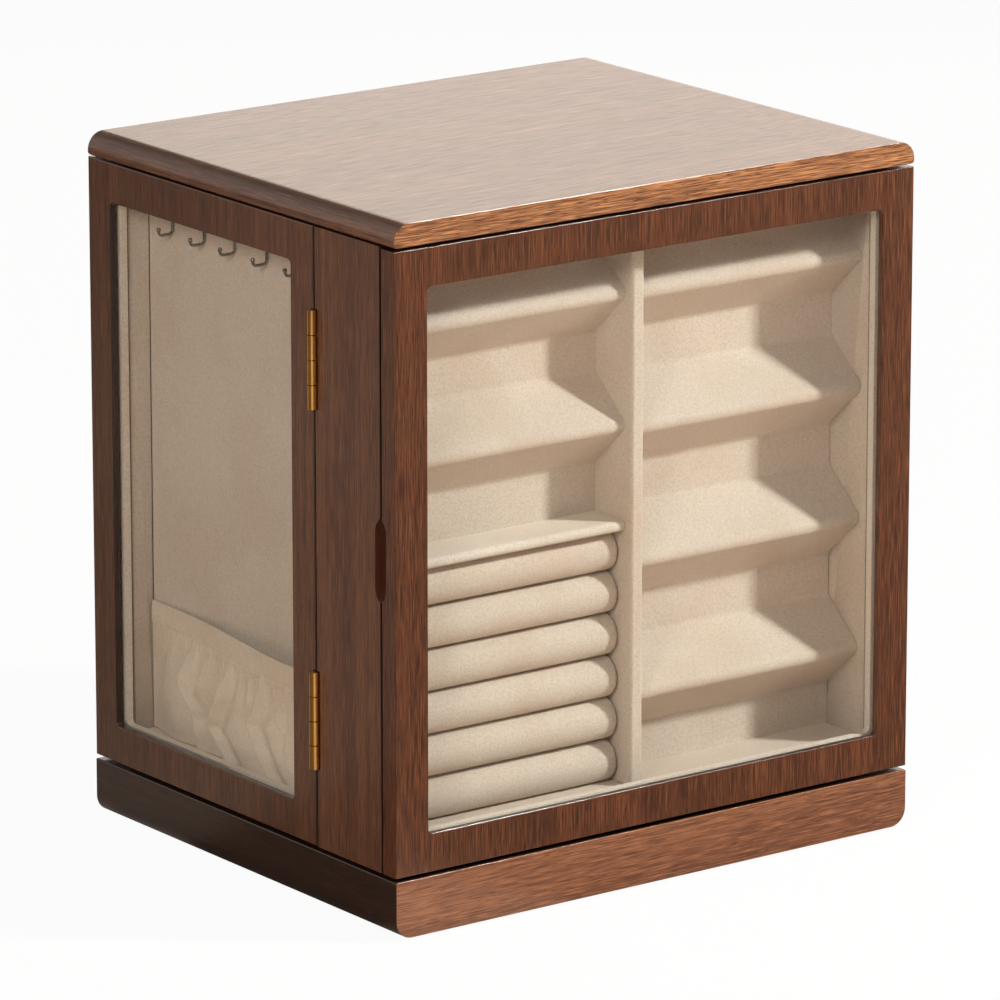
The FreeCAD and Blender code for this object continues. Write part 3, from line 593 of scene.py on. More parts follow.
def softened(node, material, radius, slot):
    """A copy of a CAD node whose sharp edges are rounded, in place of the node. With no radius they
    stay sharp, and only the rounded faces are smoothed."""
    mesh = bpy.data.meshes.new(node + "_soft")
    work = bmesh.new()
    work.from_mesh(frame["nodes"][node].data)
    bmesh.ops.remove_doubles(work, verts=work.verts, dist=0.002 * MM)
    bmesh.ops.dissolve_limit(work, angle_limit=math.radians(1), verts=work.verts, edges=work.edges)
    for face in work.faces:
        face.smooth = True
    work.to_mesh(mesh)
    work.free()
    shape = placed(node + "_shape", mesh)
    if radius:
        bevel = shape.modifiers.new("rounded", "BEVEL")
        bevel.width = radius
        bevel.segments = 2
        bevel.limit_method = "ANGLE"
        bevel.angle_limit = SHARP_TURN
    else:
        mesh.set_sharp_from_angle(angle=SHARP_TURN)
    flat = shape.modifiers.new("flat faces", "WEIGHTED_NORMAL")
    flat.mode = "FACE_AREA"
    flat.weight = 100
    flat.keep_sharp = not radius
    result = applied(shape, node + "_rounded")
    bpy.data.objects.remove(shape)
    return new_piece(node + "_dressed", result, material, body_of_node(node), slot, node)


# The finger notches: two corners in mm, just inside the faces that they are cut from, and the pieces.
NOTCHES = (
    ((-122.9, -95.3, 129), (-117.9, -88.0, 163), ("front_door_frame", "left_stile")),
    ((-117.3, 95.9, 129), (-110.2, 100.9, 163), ("left_door_frame", "back_left_post")),
    ((110.2, 95.9, 129), (117.3, 100.9, 163), ("right_door_frame", "back_right_post")),
)


def stain_inside(mesh, material, low, high):
    """Give the faces whose middle lies between two corners a second material."""
    mesh.materials.append(material)
    for polygon in mesh.polygons:
        if all(a * MM <= c <= b * MM for a, c, b in zip(low, polygon.center, high)):
            polygon.material_index = len(mesh.materials) - 1


# The front faces of these close against a neighbour in a narrow seam, and are drawn near black as
# painted shade there, so that the seam shows as a clean dark line.
SEAM_SHADE_FACES = ("left_stile", "right_stile", "left_door_frame", "right_door_frame")


class BOX_OT_veneer(bpy.types.Operator):
    """Dress the doors, stiles, slab, base and drawer fronts in walnut"""

    bl_idname = "jewelbox.veneer"
    bl_label = "Walnut veneer"

    def execute(self, context):
        look = context.scene.jewelbox.walnut
        # Boards with upright grain: which part of the wood they show, how light and how contrasted.
        upright = {
            "front_door_frame": ((0.013, 0.0, 0.21), (0.95, 0.74, 0.56), 1.6),
            "left_door_frame": ((0.41, 0.07, 0.0), 1.0, 1.0),
            "right_door_frame": ((0.74, 0.02, 0.5), 1.0, 1.0),
            "left_stile": ((0.22, 0.31, 0.9), 1.15, 1.0),
            "right_stile": ((0.58, 0.44, 0.1), 1.15, 1.0),
            "back_left_post": ((0.9, 0.62, 0.3), 1.0, 1.0),
            "back_right_post": ((0.15, 0.5, 0.8), 1.0, 1.0),
        }
        for number in DRAWERS:
            upright["drawer_front_" + number] = ((0.3, 0.85, 0.6), 1.0, 1.1)
        for node, (origin, tone, contrast) in upright.items():
            # Faces inside a seam get a strip of painted shade.
            seam_shade = (("-y", "z", 0.2, 1.0),) if node in SEAM_SHADE_FACES else ()
            veneer = walnut(look, "walnut_" + node, "z", origin, tone, 0.8, contrast, strips=seam_shade)
            dress(veneer, node)
        slab_strips = (("x", "y", 1.15, 1.0), ("y", "x", (2.85, 3.0, 2.55), 2.1))
        slab = walnut(look, "walnut_slab", "x", (0.1, 0.33, 0.05), 1.7, 1.5, 0.8, 0.02, slab_strips)
        dress(slab, "top_slab")
        # Strips on the base: its front is lighter solid wood and its sides are darker, and its top is drawn
        # near black as painted shade in the gap under the cabinet.
        base_strips_and_gap_shade = (("x", "y", 0.32, 0.9), ("z", "x", 0.3, 1.0), ("y", "x", 2.1, 1.2))
        base = walnut(look, "walnut_base", "x", (0.6, 0.21, 0.4), 1.5, 1.3, 1.0, 0.014, base_strips_and_gap_shade)
        dress(base, "base_plinth")
        rails = walnut(look, "walnut_back_rails", "x", (0.35, 0.7, 0.2))
        dress(rails, "back_rails")
        dress(walnut(look, "walnut_panels", "x", (0.8, 0.1, 0.7), 0.45), "bottom_panel", "top_panel")
        stain = stained_notch(look)
        for low, high, nodes in NOTCHES:
            for node in nodes:
                stain_inside(frame["nodes"][node].data, stain, low, high)
        board = inner_board(look, "bare_inner_board")
        boxes = ["drawer_box_" + number for number in DRAWERS]
        dress(board, "partition_panel", "core_panels", "drawer_shelves", *boxes)
        return {"FINISHED"}


class BOX_OT_velvet_boards(bpy.types.Operator):
    """Cover the liner boards, divider, tiers, shelf, beads and drawers with velvet"""

    bl_idname = "jewelbox.velvet_boards"
    bl_label = "Velvet boards"

    def execute(self, context):
        look = context.scene.jewelbox.velvet
        cloth = velvet(look, "short_pile_velvet", tuple(look.colour))
        # A paler copy of the velvet, which is painted light, for the shelf and the door beads.
        pale = velvet(look, "pale_velvet", tuple(look.shelf))
        nodes = ["front_liner_boards", "center_divider"]
        nodes += [side + "_liner_boards" for side in SIDES]
        nodes += ["necklace_board_" + side for side in SIDES]
        nodes += ["drawer_lining_" + number for number in DRAWERS]
        for node in nodes:
            softened(node, cloth, look.edge_radius, "velvet")
        for side in SIDES:
            softened("earring_tiers_" + side, cloth, 0.0, "velvet")
        softened("ring_shelf", pale, look.edge_radius, "velvet_pale")
        for door in DOORS:
            softened(door + "_door_bead", pale, look.edge_radius, "velvet")
        return {"FINISHED"}


class BOX_OT_glazing(bpy.types.Operator):
    """Glaze the three doors"""

    bl_idname = "jewelbox.glazing"
    bl_label = "Glass panes"

    def execute(self, context):
        glass = pane_glass(context.scene.jewelbox.glass)
        dress(glass, *[door + "_door_glass" for door in DOORS])
        return {"FINISHED"}


class BOX_OT_metalwork(bpy.types.Operator):
    """Finish the hinges, screws, magnets, bearing and feet"""

    bl_idname = "jewelbox.metalwork"
    bl_label = "Metalwork and feet"

    def execute(self, context):
        look = context.scene.jewelbox.metal
        brass = polished_brass(look)
        zinc = zinc_plate(look)
        leaves = ["hinge_fixed_leaves"] + [door + "_door_hinge_leaves" for door in DOORS]
        for node in leaves:
            softened(node, brass, look.edge_radius, "brass")
        dress(brass, "hinge_pins", "hinge_fixed_screws", *[door + "_door_screws" for door in DOORS])
        dress(zinc, "bearing_lower_plate", "bearing_upper_plate", "bearing_balls", "door_magnets")
        dress(zinc, "bearing_base_screws", "bearing_cabinet_screws")
        softened("base_feet", moulded_rubber(), 0.5 * MM, "rubber_black")
        return {"FINISHED"}


INPUT_KINDS = {float: "NodeSocketFloat", int: "NodeSocketInt", tuple: "NodeSocketVector"}


def geometry_tree(name, inputs):
    """A geometry tree that takes a mesh and gives a mesh, with more inputs by name and default."""
    tree = bpy.data.node_groups.new(name, "GeometryNodeTree")
    tree.is_modifier = True
    for way in ("INPUT", "OUTPUT"):
        tree.interface.new_socket("Geometry", in_out=way, socket_type="NodeSocketGeometry")
    for label, default in inputs.items():
        kind = INPUT_KINDS[type(default)]
        tree.interface.new_socket(label, in_out="INPUT", socket_type=kind).default_value = default
    return tree


def carried_out(name, mesh, tree, values):
    """The plain mesh that a geometry tree makes of a mesh, with these values of its inputs."""
    shape = placed(name + "_source", mesh)
    modifier = shape.modifiers.new("repeat", "NODES")
    modifier.node_group = tree
    for socket in tree.interface.items_tree:
        if socket.name in values:
            modifier[socket.identifier] = values[socket.name]
    result = applied(shape, name)
    bpy.data.objects.remove(shape)
    return result


def close_tree(tree, geometry, material):
    """Realise the instances, set the material and end the tree."""
    real = add(tree, "GeometryNodeRealizeInstances", {0: geometry}).outputs[0]
    coloured = add(tree, "GeometryNodeSetMaterial", {"Geometry": real, "Material": material})
    add(tree, "NodeGroupOutput", {0: coloured.outputs[0]})


def row_of(tree, given, axis, shape, low, high):
    """Copies of a shape at even steps along an axis, each turned by a little between two turns."""
    step = add(tree, "ShaderNodeCombineXYZ", {axis: given["Pitch"]}).outputs[0]
    places = {"Count": given["Count"], "Start Location": given["Start"], "Offset": step}
    row = add(tree, "GeometryNodeMeshLine", places, mode="OFFSET").outputs[0]
    lean = {"Min": low, "Max": high, "Seed": given["Seed"]}
    turn = add(tree, "FunctionNodeRandomValue", lean, data_type="FLOAT_VECTOR").outputs[0]
    copies = {"Points": row, "Instance": shape, "Rotation": turn}
    return add(tree, "GeometryNodeInstanceOnPoints", copies).outputs[0]


# Necklace hooks: one bent wire, repeated along the top of the necklace board. The wire leaves the board
# level, turns down in a tight bend close to it, and keeps clear of the space that the CAD hooks fill.
HOOK_NECK = 2.8 * MM
HOOK_NECK_BEND = 1.2 * MM
HOOK_CLEARANCE = 0.2 * MM
BEND_STEPS = 8


def hook_line(sizes, reach, drop, sign):
    """Centre line of a hook from the end of its root, which lies in the board."""
    corners = [(0, 0), (HOOK_NECK, 0), (HOOK_NECK, -drop), (reach, -drop), (reach, sizes.tip - drop)]
    corners = [Vector((sign * x, 0, z)) for x, z in corners]
    line = [corners[0]]
    for index, bend in enumerate((HOOK_NECK_BEND, sizes.bend, sizes.bend)):
        before, corner, after = corners[index : index + 3]
        into = (corner - before).normalized()
        out = (after - corner).normalized()
        centre = corner - into * bend + out * bend
        for step in range(BEND_STEPS + 1):
            angle = math.pi / 2 * step / BEND_STEPS
            line.append(centre - out * bend * math.cos(angle) + into * bend * math.sin(angle))
    line.append(corners[-1])
    return line


def hook_tree(material):
    """A row of hooks from the line of one. The operator sets all inputs but the seed."""
    inputs = {"Start": (0, 0, 0), "Wire radius": 0.8 * MM, "Tip radius": 1.1 * MM, "Pitch": 20 * MM}
    inputs |= {"Count": 6, "Hand-bent spread": 0.05, "Seed": 4}
    tree = geometry_tree("hook_row", inputs)
    given = add(tree, "NodeGroupInput").outputs
    path = add(tree, "GeometryNodeMeshToCurve", {0: given["Geometry"]}).outputs[0]
    circle = {"Resolution": 16, "Radius": given["Wire radius"]}
    ring = add(tree, "GeometryNodeCurvePrimitiveCircle", circle).outputs[0]
    swept = {"Curve": path, "Profile Curve": ring, "Fill Caps": True}
    wire = add(tree, "GeometryNodeCurveToMesh", swept).outputs[0]
    ball = {"Segments": 20, "Rings": 14, "Radius": given["Tip radius"]}
    sphere = add(tree, "GeometryNodeMeshUVSphere", ball).outputs[0]
    ends = add(tree, "GeometryNodeCurveEndpointSelection", {"Start Size": 0, "End Size": 1}).outputs[0]
    tips = {"Points": path, "Selection": ends, "Instance": sphere}
    tip = add(tree, "GeometryNodeInstanceOnPoints", tips).outputs[0]
    hook = add(tree, "GeometryNodeJoinGeometry", {0: wire})
    tree.links.new(tip, hook.inputs[0])
    most = given["Hand-bent spread"]
    least = maths(tree, "MULTIPLY", most, -1.0)
    low = add(tree, "ShaderNodeCombineXYZ", {"X": least, "Z": least}).outputs[0]
    high = add(tree, "ShaderNodeCombineXYZ", {"X": most, "Z": most}).outputs[0]
    close_tree(tree, row_of(tree, given, "Y", hook.outputs[0], low, high), material)
    return tree


class BOX_OT_hooks(bpy.types.Operator):
    """Bend the wire hooks of both necklace compartments"""

    bl_idname = "jewelbox.hooks"
    bl_label = "Necklace hooks"

    def execute(self, context):
        sizes = context.scene.jewelbox.hook
        wire = nickel_wire(context.scene.jewelbox.metal)
        tree = hook_tree(wire)
        for side, sign in (("left", -1), ("right", 1)):
            node = "necklace_hooks_" + side
            low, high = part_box(node)
            radius = sizes.wire_radius
            root = high.x if sign < 0 else low.x
            outer = low.x if sign < 0 else high.x
            reach = abs(outer - root) - radius - HOOK_CLEARANCE
            line = hook_line(sizes, reach, high.z - low.z - 2 * radius, sign)
            mesh = line_mesh(node + "_line", line)
            pitch = (high.y - low.y - 2 * radius) / (sizes.count - 1)
            values = {
                "Start": (root, low.y + radius, high.z - radius),
                "Wire radius": radius,
                "Tip radius": sizes.tip_radius,
                "Pitch": pitch,
                "Count": sizes.count,
                "Hand-bent spread": sizes.spread,
            }
            result = smoothed(carried_out(node + "_wire", mesh, tree, values))
            new_piece(node + "_bent", result, wire, "cabinet", "hook_wire", node)
        return {"FINISHED"}


# Ring rolls: foam wrapped in velvet, D-shaped, with softly rounded ends and narrow slots between them.
ROLL_SLOT = 0.3 * MM
# How far a roll leans up or down at most, in radians.
ROLL_LEAN = 0.004
# The swellings of the foam: how many there are in a metre, and the value of the noise over which they
# push the velvet out. Elsewhere they draw it in.
SWELLING_SCALE, SWELLING_MIDDLE = 55.0, 0.72
# The back edges of a roll, which turn by more than this, stay sharp.
ROLL_EDGE_TURN = math.radians(50)


def roll_mesh(sizes, length, height, depth):
    """One roll along X from its left end, back at y = 0 and middle at z = 0."""
    across, around = 64, 40
    radius = height / 2
    rings = []
    for i in range(across + 1):
        t = i / across
        x = length * (0.5 - 0.5 * math.cos(math.pi * t)) if 0 < i < across else length * t
        from_end = min(x, length - x)
        share = min(from_end / sizes.end_radius, 1.0)
        drawn = sizes.end_radius * (1 - math.sqrt(1 - (1 - share) ** 2))
        middle = sizes.crown * math.sin(math.pi * x / length)
        # The ends draw in about half as far in height as in depth.
        ring_radius = radius - 0.45 * drawn
        reach = depth - drawn + middle
        ring = [(x, 0.0, -ring_radius)]
        for j in range(around + 1):
            angle = -math.pi / 2 + math.pi * j / around
            y = -(reach - ring_radius) - ring_radius * math.cos(angle)
            ring.append((x, y, ring_radius * math.sin(angle)))
        ring.append((x, 0.0, ring_radius))
        rings.append(ring)
    count = len(rings[0])
    points = [point for ring in rings for point in ring]
    faces = grid_quads(across, count, count)
    faces.append(tuple(range(count))[::-1])
    faces.append(tuple(across * count + j for j in range(count)))
    mesh = new_mesh("ring_roll", points, faces=faces)
    work = bmesh.new()
    work.from_mesh(mesh)
    bmesh.ops.recalc_face_normals(work, faces=work.faces)
    work.to_mesh(mesh)
    work.free()
    return mesh


def roll_tree(material):
    """A stack of rolls from one, with uneven padding. The operator sets all inputs but the seed."""
    inputs = {"Pitch": 16 * MM, "Count": 6, "Start": (0, 0, 0), "Unevenness": 0.2 * MM, "Seed": 7}
    tree = geometry_tree("ring_roll_stack", inputs)
    given = add(tree, "NodeGroupInput").outputs
    rolls = row_of(tree, given, "Z", given["Geometry"], (-ROLL_LEAN, 0.0, 0.0), (ROLL_LEAN, 0.0, 0.0))
    real = add(tree, "GeometryNodeRealizeInstances", {0: rolls}).outputs[0]
    place = add(tree, "GeometryNodeInputPosition").outputs[0]
    swell = maths(tree, "SUBTRACT", noise(tree, place, SWELLING_SCALE, 1.0), SWELLING_MIDDLE)
    amount = maths(tree, "MULTIPLY", swell, given["Unevenness"])
    push = scaled(tree, add(tree, "GeometryNodeInputNormal").outputs[0], amount)
    depth = add(tree, "ShaderNodeSeparateXYZ", {0: place}).outputs["Y"]
    back = add(tree, "ShaderNodeSeparateXYZ", {0: given["Start"]}).outputs["Y"]
    free = {"A": depth, "B": back, "Epsilon": 0.5 * MM}
    in_front = add(tree, "FunctionNodeCompare", free, data_type="FLOAT", operation="NOT_EQUAL").outputs[0]
    padded = {"Geometry": real, "Offset": push, "Selection": in_front}
    close_tree(tree, add(tree, "GeometryNodeSetPosition", padded).outputs[0], material)
    return tree


class BOX_OT_ring_rolls(bpy.types.Operator):
    """Stack the padded ring rolls under the shelf"""

    bl_idname = "jewelbox.ring_rolls"
    bl_label = "Ring rolls"

    def execute(self, context):
        sizes = context.scene.jewelbox.roll
        look = context.scene.jewelbox.velvet
        cloth = velvet(look, "roll_velvet", tuple(look.colour), 0.4)
        low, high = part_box("ring_rolls")
        pitch = (high.z - low.z + ROLL_SLOT) / sizes.count
        height = pitch - ROLL_SLOT
        depth = high.y - low.y - sizes.crown
        tree = roll_tree(cloth)
        start = (low.x, high.y, low.z + height / 2)
        values = {"Pitch": pitch, "Count": sizes.count, "Start": start, "Unevenness": sizes.unevenness}
        mesh = roll_mesh(sizes, high.x - low.x, height, depth)
        result = smoothed(carried_out("ring_roll_foam", mesh, tree, values))
        result.set_sharp_from_angle(angle=ROLL_EDGE_TURN)
        piece = new_piece("ring_rolls_padded", result, cloth, "cabinet", "velvet", "ring_rolls")
        return {"FINISHED"}


# Pockets: cloth gathered onto an elastic hem. It stands off the board most near the front. Under the
# hem it falls in small gathers and folds, and the long folds run to the floor with one bend each.

# Quads of the cloth along the pocket and up it.
CLOTH_GRID = (360, 88)
# How far the cloth's foot keeps off the board, and how much less the belly stands off at the back end.
BOARD_GAP, BELLY_LOSS = 0.05 * MM, 3.2 * MM
# The lengths over which the cloth comes in to the board at its front and back ends.
FRONT_FADE, BACK_FADE = 14 * MM, 24 * MM
# Small gathers under the hem: their depth, their wave and the length over which that wave varies.
GATHER_DEPTH, GATHER_WAVE, GATHER_DRIFT = 0.3 * MM, 7.5 * MM, 11 * MM
# The gathered hem: the depth of its ripples, how much more they have at the seam and how far that goes.
RIPPLE, SEAM_RIPPLE, SEAM_REACH = 0.07 * MM, 0.16 * MM, 3.5 * MM
# How far the band over the seam bulges, and the depth and width of the groove along the seam.
BAND_BULGE, GROOVE_DEPTH, GROOVE_WIDTH = 0.45 * MM, 0.4 * MM, 0.8 * MM
# How far the stitches lie in front of the groove and above it.
STITCH_OUT, STITCH_UP = 0.12 * MM, 0.25 * MM

# Each fold: its crest as (share of the way down, mm from the pocket's front end) points, how deep the
# cloth drops behind the crest, how wide that valley runs out backwards, how deep the softer valley in
# front of the crest is, and how far down the fold reaches. Depths and widths are in mm, and the depths
# count before the factors below and before the board holds the cloth back.
FOLDS = (
    (((0, 6), (0.5, 9), (1, 5)), 1.8, 4.0, 0.6, 0.9),
    (((0, 21), (0.45, 25), (1, 17)), 3.2, 6.0, 1.2, 1.0),
    (((0, 29), (0.4, 33), (1, 30)), 1.6, 3.0, 0.6, 0.6),
    (((0, 38), (0.48, 39), (1, 36)), 2.6, 3.5, 1.0, 0.7),
    (((0, 38), (0.37, 46), (0.55, 41), (0.8, 35), (1, 31)), 3.6, 5.0, 1.6, 1.0),
    (((0, 57), (0.35, 61), (0.52, 65), (0.62, 62), (0.85, 56), (1, 51)), 5.2, 7.0, 2.6, 1.0),
    (((0, 67), (0.4, 69), (1, 70)), 1.5, 4.0, 0.6, 0.5),
    (((0, 75), (0.5, 77), (1, 76)), 1.2, 3.0, 0.5, 0.45),
    (((0, 81), (0.36, 86), (0.6, 91), (0.7, 93.5), (0.82, 88), (1, 82)), 5.4, 7.5, 2.8, 1.0),
    (((0, 98), (0.3, 101), (0.6, 106)), 3.0, 4.0, 0.8, 0.55),
    (((0, 103), (0.25, 103.5), (0.5, 104)), 1.4, 2.5, 0.5, 0.35),
    (((0, 110), (0.17, 112.5), (0.44, 113), (0.63, 106), (0.93, 103), (1, 102)), 4.8, 9.0, 1.2, 1.0),
    (((0, 126), (0.5, 129), (1, 127)), 1.6, 5.0, 0.6, 0.7),
)
# Factors on the depths behind and in front of all crests, and how far in mm the crests stand out.
BACK_DEPTH, FRONT_DEPTH, CREST_LIFT = 1.5, 1.3, 0.5


def smooth_step(t):
    t = min(max(t, 0.0), 1.0)
    return t * t * (3 - 2 * t)


def crest_at(crest, drop):
    """Where a fold's crest runs at a height, from its points."""
    for (drop0, place0), (drop1, place1) in zip(crest, crest[1:]):
        if drop <= drop1:
            share = (drop - drop0) / (drop1 - drop0)
            return place0 + (place1 - place0) * 0.5 * (share + smooth_step(share))
    return crest[-1][1]


def pressed_in(place, drop, width, shift):
    """How far all folds together press the cloth in at a place, in metres."""
    total = 0.0
    for crest, depth, back, front_depth, reach in FOLDS:
        strength = 0.3 + 0.7 * smooth_step(drop / 0.35)
        if reach < 1:
            strength *= smooth_step((reach - drop) / 0.25)
        else:
            strength *= 1 - 0.25 * smooth_step((drop - 0.7) / 0.3)
        line = (crest_at(crest, drop) * MM + shift) % width
        gap = (place - line) / MM
        if gap > 0:
            fade = math.exp(-((max(gap - 2.0, 0.0) / back) ** 1.3))
            total += BACK_DEPTH * depth * strength * smooth_step(gap / 2.2) * fade
        else:
            total += FRONT_DEPTH * front_depth * strength * math.exp(-(((gap + 7.0) / 4.0) ** 2))
            total -= CREST_LIFT * strength * math.exp(-((gap / 1.8) ** 2))
    return total * MM


def pocket_surface(sizes, low, high, sign, shift):
    """Grid points of the pocket's outer face, from the front end to the back and from the floor up."""
    width, height = high.y - low.y, high.z - low.z
    columns, rows = CLOTH_GRID
    hem_low = height - sizes.hem
    base_x = (high.x if sign < 0 else low.x) + sign * (sizes.cloth + BOARD_GAP)
    points = []
    for i in range(columns + 1):
        s = i / columns
        along = s * width
        swell = math.sin(math.pi * s**0.5) ** 2
        ends = smooth_step(min(along / FRONT_FADE, (width - along) / BACK_FADE))
        rim = sizes.bulge * swell
        belly = (sizes.belly - BELLY_LOSS * s) * ends
        for j in range(rows + 1):
            z = height * j / rows
            drop = max(0.0, (hem_low - z) / hem_low)
            filled = smooth_step(drop / 0.4) * (1 - 0.22 * smooth_step((drop - 0.55) / 0.45))
            out = rim + (max(belly, rim) - rim) * filled
            out *= 1 - 0.12 * smooth_step((drop - 0.75) / 0.25)
            # Folds press the cloth in softly, so that it never reaches the board.
            pressed = pressed_in(along, drop, width, shift) * ends * smooth_step(drop / 0.1)
            room = 0.9 * out + 0.01 * MM
            out -= room * (1 - math.exp(-pressed / room))
            gathers = math.sin(2 * math.pi * along / GATHER_WAVE + 2.1 * math.sin(along / GATHER_DRIFT))
            out += GATHER_DEPTH * gathers * ends * smooth_step(drop / 0.12) * (1 - smooth_step(drop / 0.45))
            if drop < 0.25:
                shirring = math.sin(2 * math.pi * along / sizes.shirring)
                near_seam = math.exp(-(((z - hem_low) / SEAM_REACH) ** 2))
                out += (RIPPLE + SEAM_RIPPLE * near_seam) * shirring * smooth_step((drop + 0.2) / 0.2)
            if z > hem_low:
                out += BAND_BULGE * math.sin(math.pi * (z - hem_low) / sizes.hem) ** 0.6
            out -= GROOVE_DEPTH * math.exp(-(((z - hem_low) / GROOVE_WIDTH) ** 2))
            sink = sizes.sag * swell * (z / height) ** 2
            points.append((base_x + sign * max(out, 0.0), low.y + along, low.z + z - sink))
    return points


def stitch_tree(material):
    """Stitches laid along a line."""
    inputs = {"Pitch": 2.4 * MM, "Length": 1.4 * MM, "Thread radius": 0.16 * MM}
    tree = geometry_tree("hem_stitches", inputs)
    given = add(tree, "NodeGroupInput").outputs
    path = add(tree, "GeometryNodeMeshToCurve", {0: given["Geometry"]}).outputs[0]
    spaced = {"Curve": path, "Length": given["Pitch"]}
    spots = add(tree, "GeometryNodeCurveToPoints", spaced, mode="LENGTH").outputs
    thread = {"Vertices": 6, "Side Segments": 2, "Radius": given["Thread radius"], "Depth": given["Length"]}
    stitch = add(tree, "GeometryNodeMeshCylinder", thread).outputs["Mesh"]
    laid = {"Points": spots["Points"], "Instance": stitch, "Rotation": spots["Rotation"]}
    close_tree(tree, add(tree, "GeometryNodeInstanceOnPoints", laid).outputs[0], material)
    return tree


class BOX_OT_pockets(bpy.types.Operator):
    """Sew the gathered pockets of both necklace compartments"""

    bl_idname = "jewelbox.pockets"
    bl_label = "Gathered pockets"

    def execute(self, context):
        sizes = context.scene.jewelbox.pocket
        look = context.scene.jewelbox.velvet
        cloth = velvet(look, "pocket_cloth", tuple(look.pocket), 0.25, 0.7)
        thread = velvet(look, "sewing_thread", tuple(look.shelf), 0.1, 0.3)
        tree = stitch_tree(thread)
        columns, rows = CLOTH_GRID
        for side, sign, shift in (("left", -1, 0.0), ("right", 1, sizes.shift)):
            node = "pocket_" + side
            low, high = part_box(node)
            points = pocket_surface(sizes, low, high, sign, shift)
            faces = [quad[1:] + quad[:1] for quad in grid_quads(columns, rows, rows + 1)]
            if sign > 0:
                faces = [face[::-1] for face in faces]
            mesh = new_mesh(node + "_cloth", points, faces=faces)
            height = high.z - low.z
            hem_row = round(rows * (1 - sizes.hem / height))
            lift = Vector((sign * STITCH_OUT, 0, STITCH_UP))
            seam = [Vector(points[i * (rows + 1) + hem_row]) + lift for i in range(1, columns)]
            line = line_mesh(node + "_seam", seam)
            shape = placed(node + "_shape", mesh)
            thick = shape.modifiers.new("cloth", "SOLIDIFY")
            thick.thickness = sizes.cloth
            thick.offset = -1
            result = smoothed(applied(shape, node + "_sewn"))
            bpy.data.objects.remove(shape)
            piece = new_piece(node + "_gathered", result, cloth, "cabinet", "pocket_cloth", node)
            stitches = carried_out(node + "_stitches", line, tree, {"Pitch": sizes.stitch_pitch})
            sewn = new_piece(node + "_hem_stitches", stitches, thread, "cabinet", "pocket_cloth")
        return {"FINISHED"}


# Stage: a pale floor, a white room and soft lamps, with the camera where the photograph was taken.

# The lamps in a row: where each stands, its width, the setting of its power and its colour.
LAMPS = (
    ("key_lamp", (1.07, -1.1, 1.1), 0.15, "key", "#FFFEFC"),
    ("edge_shine", (1.1, -0.25, 1.85), 0.2, "shine", "#FFFEFC"),
    ("fill_lamp", (-1.25, -0.85, 0.85), 0.45, "fill", "#FFF6EE"),
)
# The point that they shine at, in the middle of the box.
MIDDLE = (0, 0, 0.15)
# The white wall: how far behind the box and to its right, seen from the camera, how high, and its size.
WALL_BACK, WALL_RIGHT, WALL_HEIGHT = 1.6, 0.65, 0.72
WALL_SIZE = (1.9, 1.0)
# Half the length of the floor, how far it lies under the feet, and the share of pure white in what the
# camera sees of it. The rest shows the box's shadow.
FLOOR_REACH, FLOOR_DROP, FLOOR_WHITE = 6.0, 0.2 * MM, 0.95
# Bright cards that shiny faces see on the floor: between which cosines of the angle from its middle line
# a card fades in, and the way to the one at the left.
CARD_FADE = (0.93, 0.985)
LEFT_CARD = (-0.803, 0.596, 0)


def aim(thing, target):
    thing.rotation_euler = (Vector(target) - thing.location).to_track_quat("-Z", "Y").to_euler()


def soft_lamp(name, place, target, size, power, colour):
    lamp = bpy.data.lights.new(name, "AREA")
    lamp.shape = "RECTANGLE"
    lamp.size, lamp.size_y = size
    lamp.energy = power
    lamp.color = linear(colour)
    holder = placed(name, lamp)
    holder.location = place
    aim(holder, target)
    return holder


def level_ways(look):
    """Level directions away from the camera and to its right."""
    sine, cosine = math.sin(look.azimuth), math.cos(look.azimuth)
    return Vector((sine, cosine, 0)), Vector((cosine, -sine, 0))


def white_room(look):
    """Even light on the box. The camera sees white; a shiny face sees a dim studio with a soft glow
    behind the box and a stronger one at its left."""
    world = bpy.data.worlds.new("white_room")
    bpy.context.scene.world = world
    world.use_nodes = True
    tree = world.node_tree
    tree.nodes.clear()
    path = add(tree, "ShaderNodeLightPath").outputs
    towards = add(tree, "ShaderNodeTexCoord").outputs["Generated"]
    sine, cosine = math.sin(look.azimuth), math.cos(look.azimuth)
    behind = vector_maths(tree, "DOT_PRODUCT", towards, (0.71 * sine, 0.71 * cosine, 0.7))
    back_share = mapped(tree, behind, 0.1, 0.8, look.front_glow, look.back_glow, smooth=True)
    beside = vector_maths(tree, "DOT_PRODUCT", towards, (-sine, cosine, 0))
    side_share = mapped(tree, beside, 0.5, 0.95, 0.0, look.side_glow, smooth=True)
    room = light(tree, "Background", "#FFFAF5", look.room)
    mirrored = light(tree, "Background", "#FFFAF4", maths(tree, "ADD", back_share, side_share))
    unseen = either(tree, path["Is Glossy Ray"], room, mirrored)
    seen = maths(tree, "MAXIMUM", path["Is Camera Ray"], path["Is Transmission Ray"])
    surface = either(tree, seen, unseen, light(tree, "Background", "#FFFFFF", 1.0))
    add(tree, "ShaderNodeOutputWorld", {"Surface": surface})


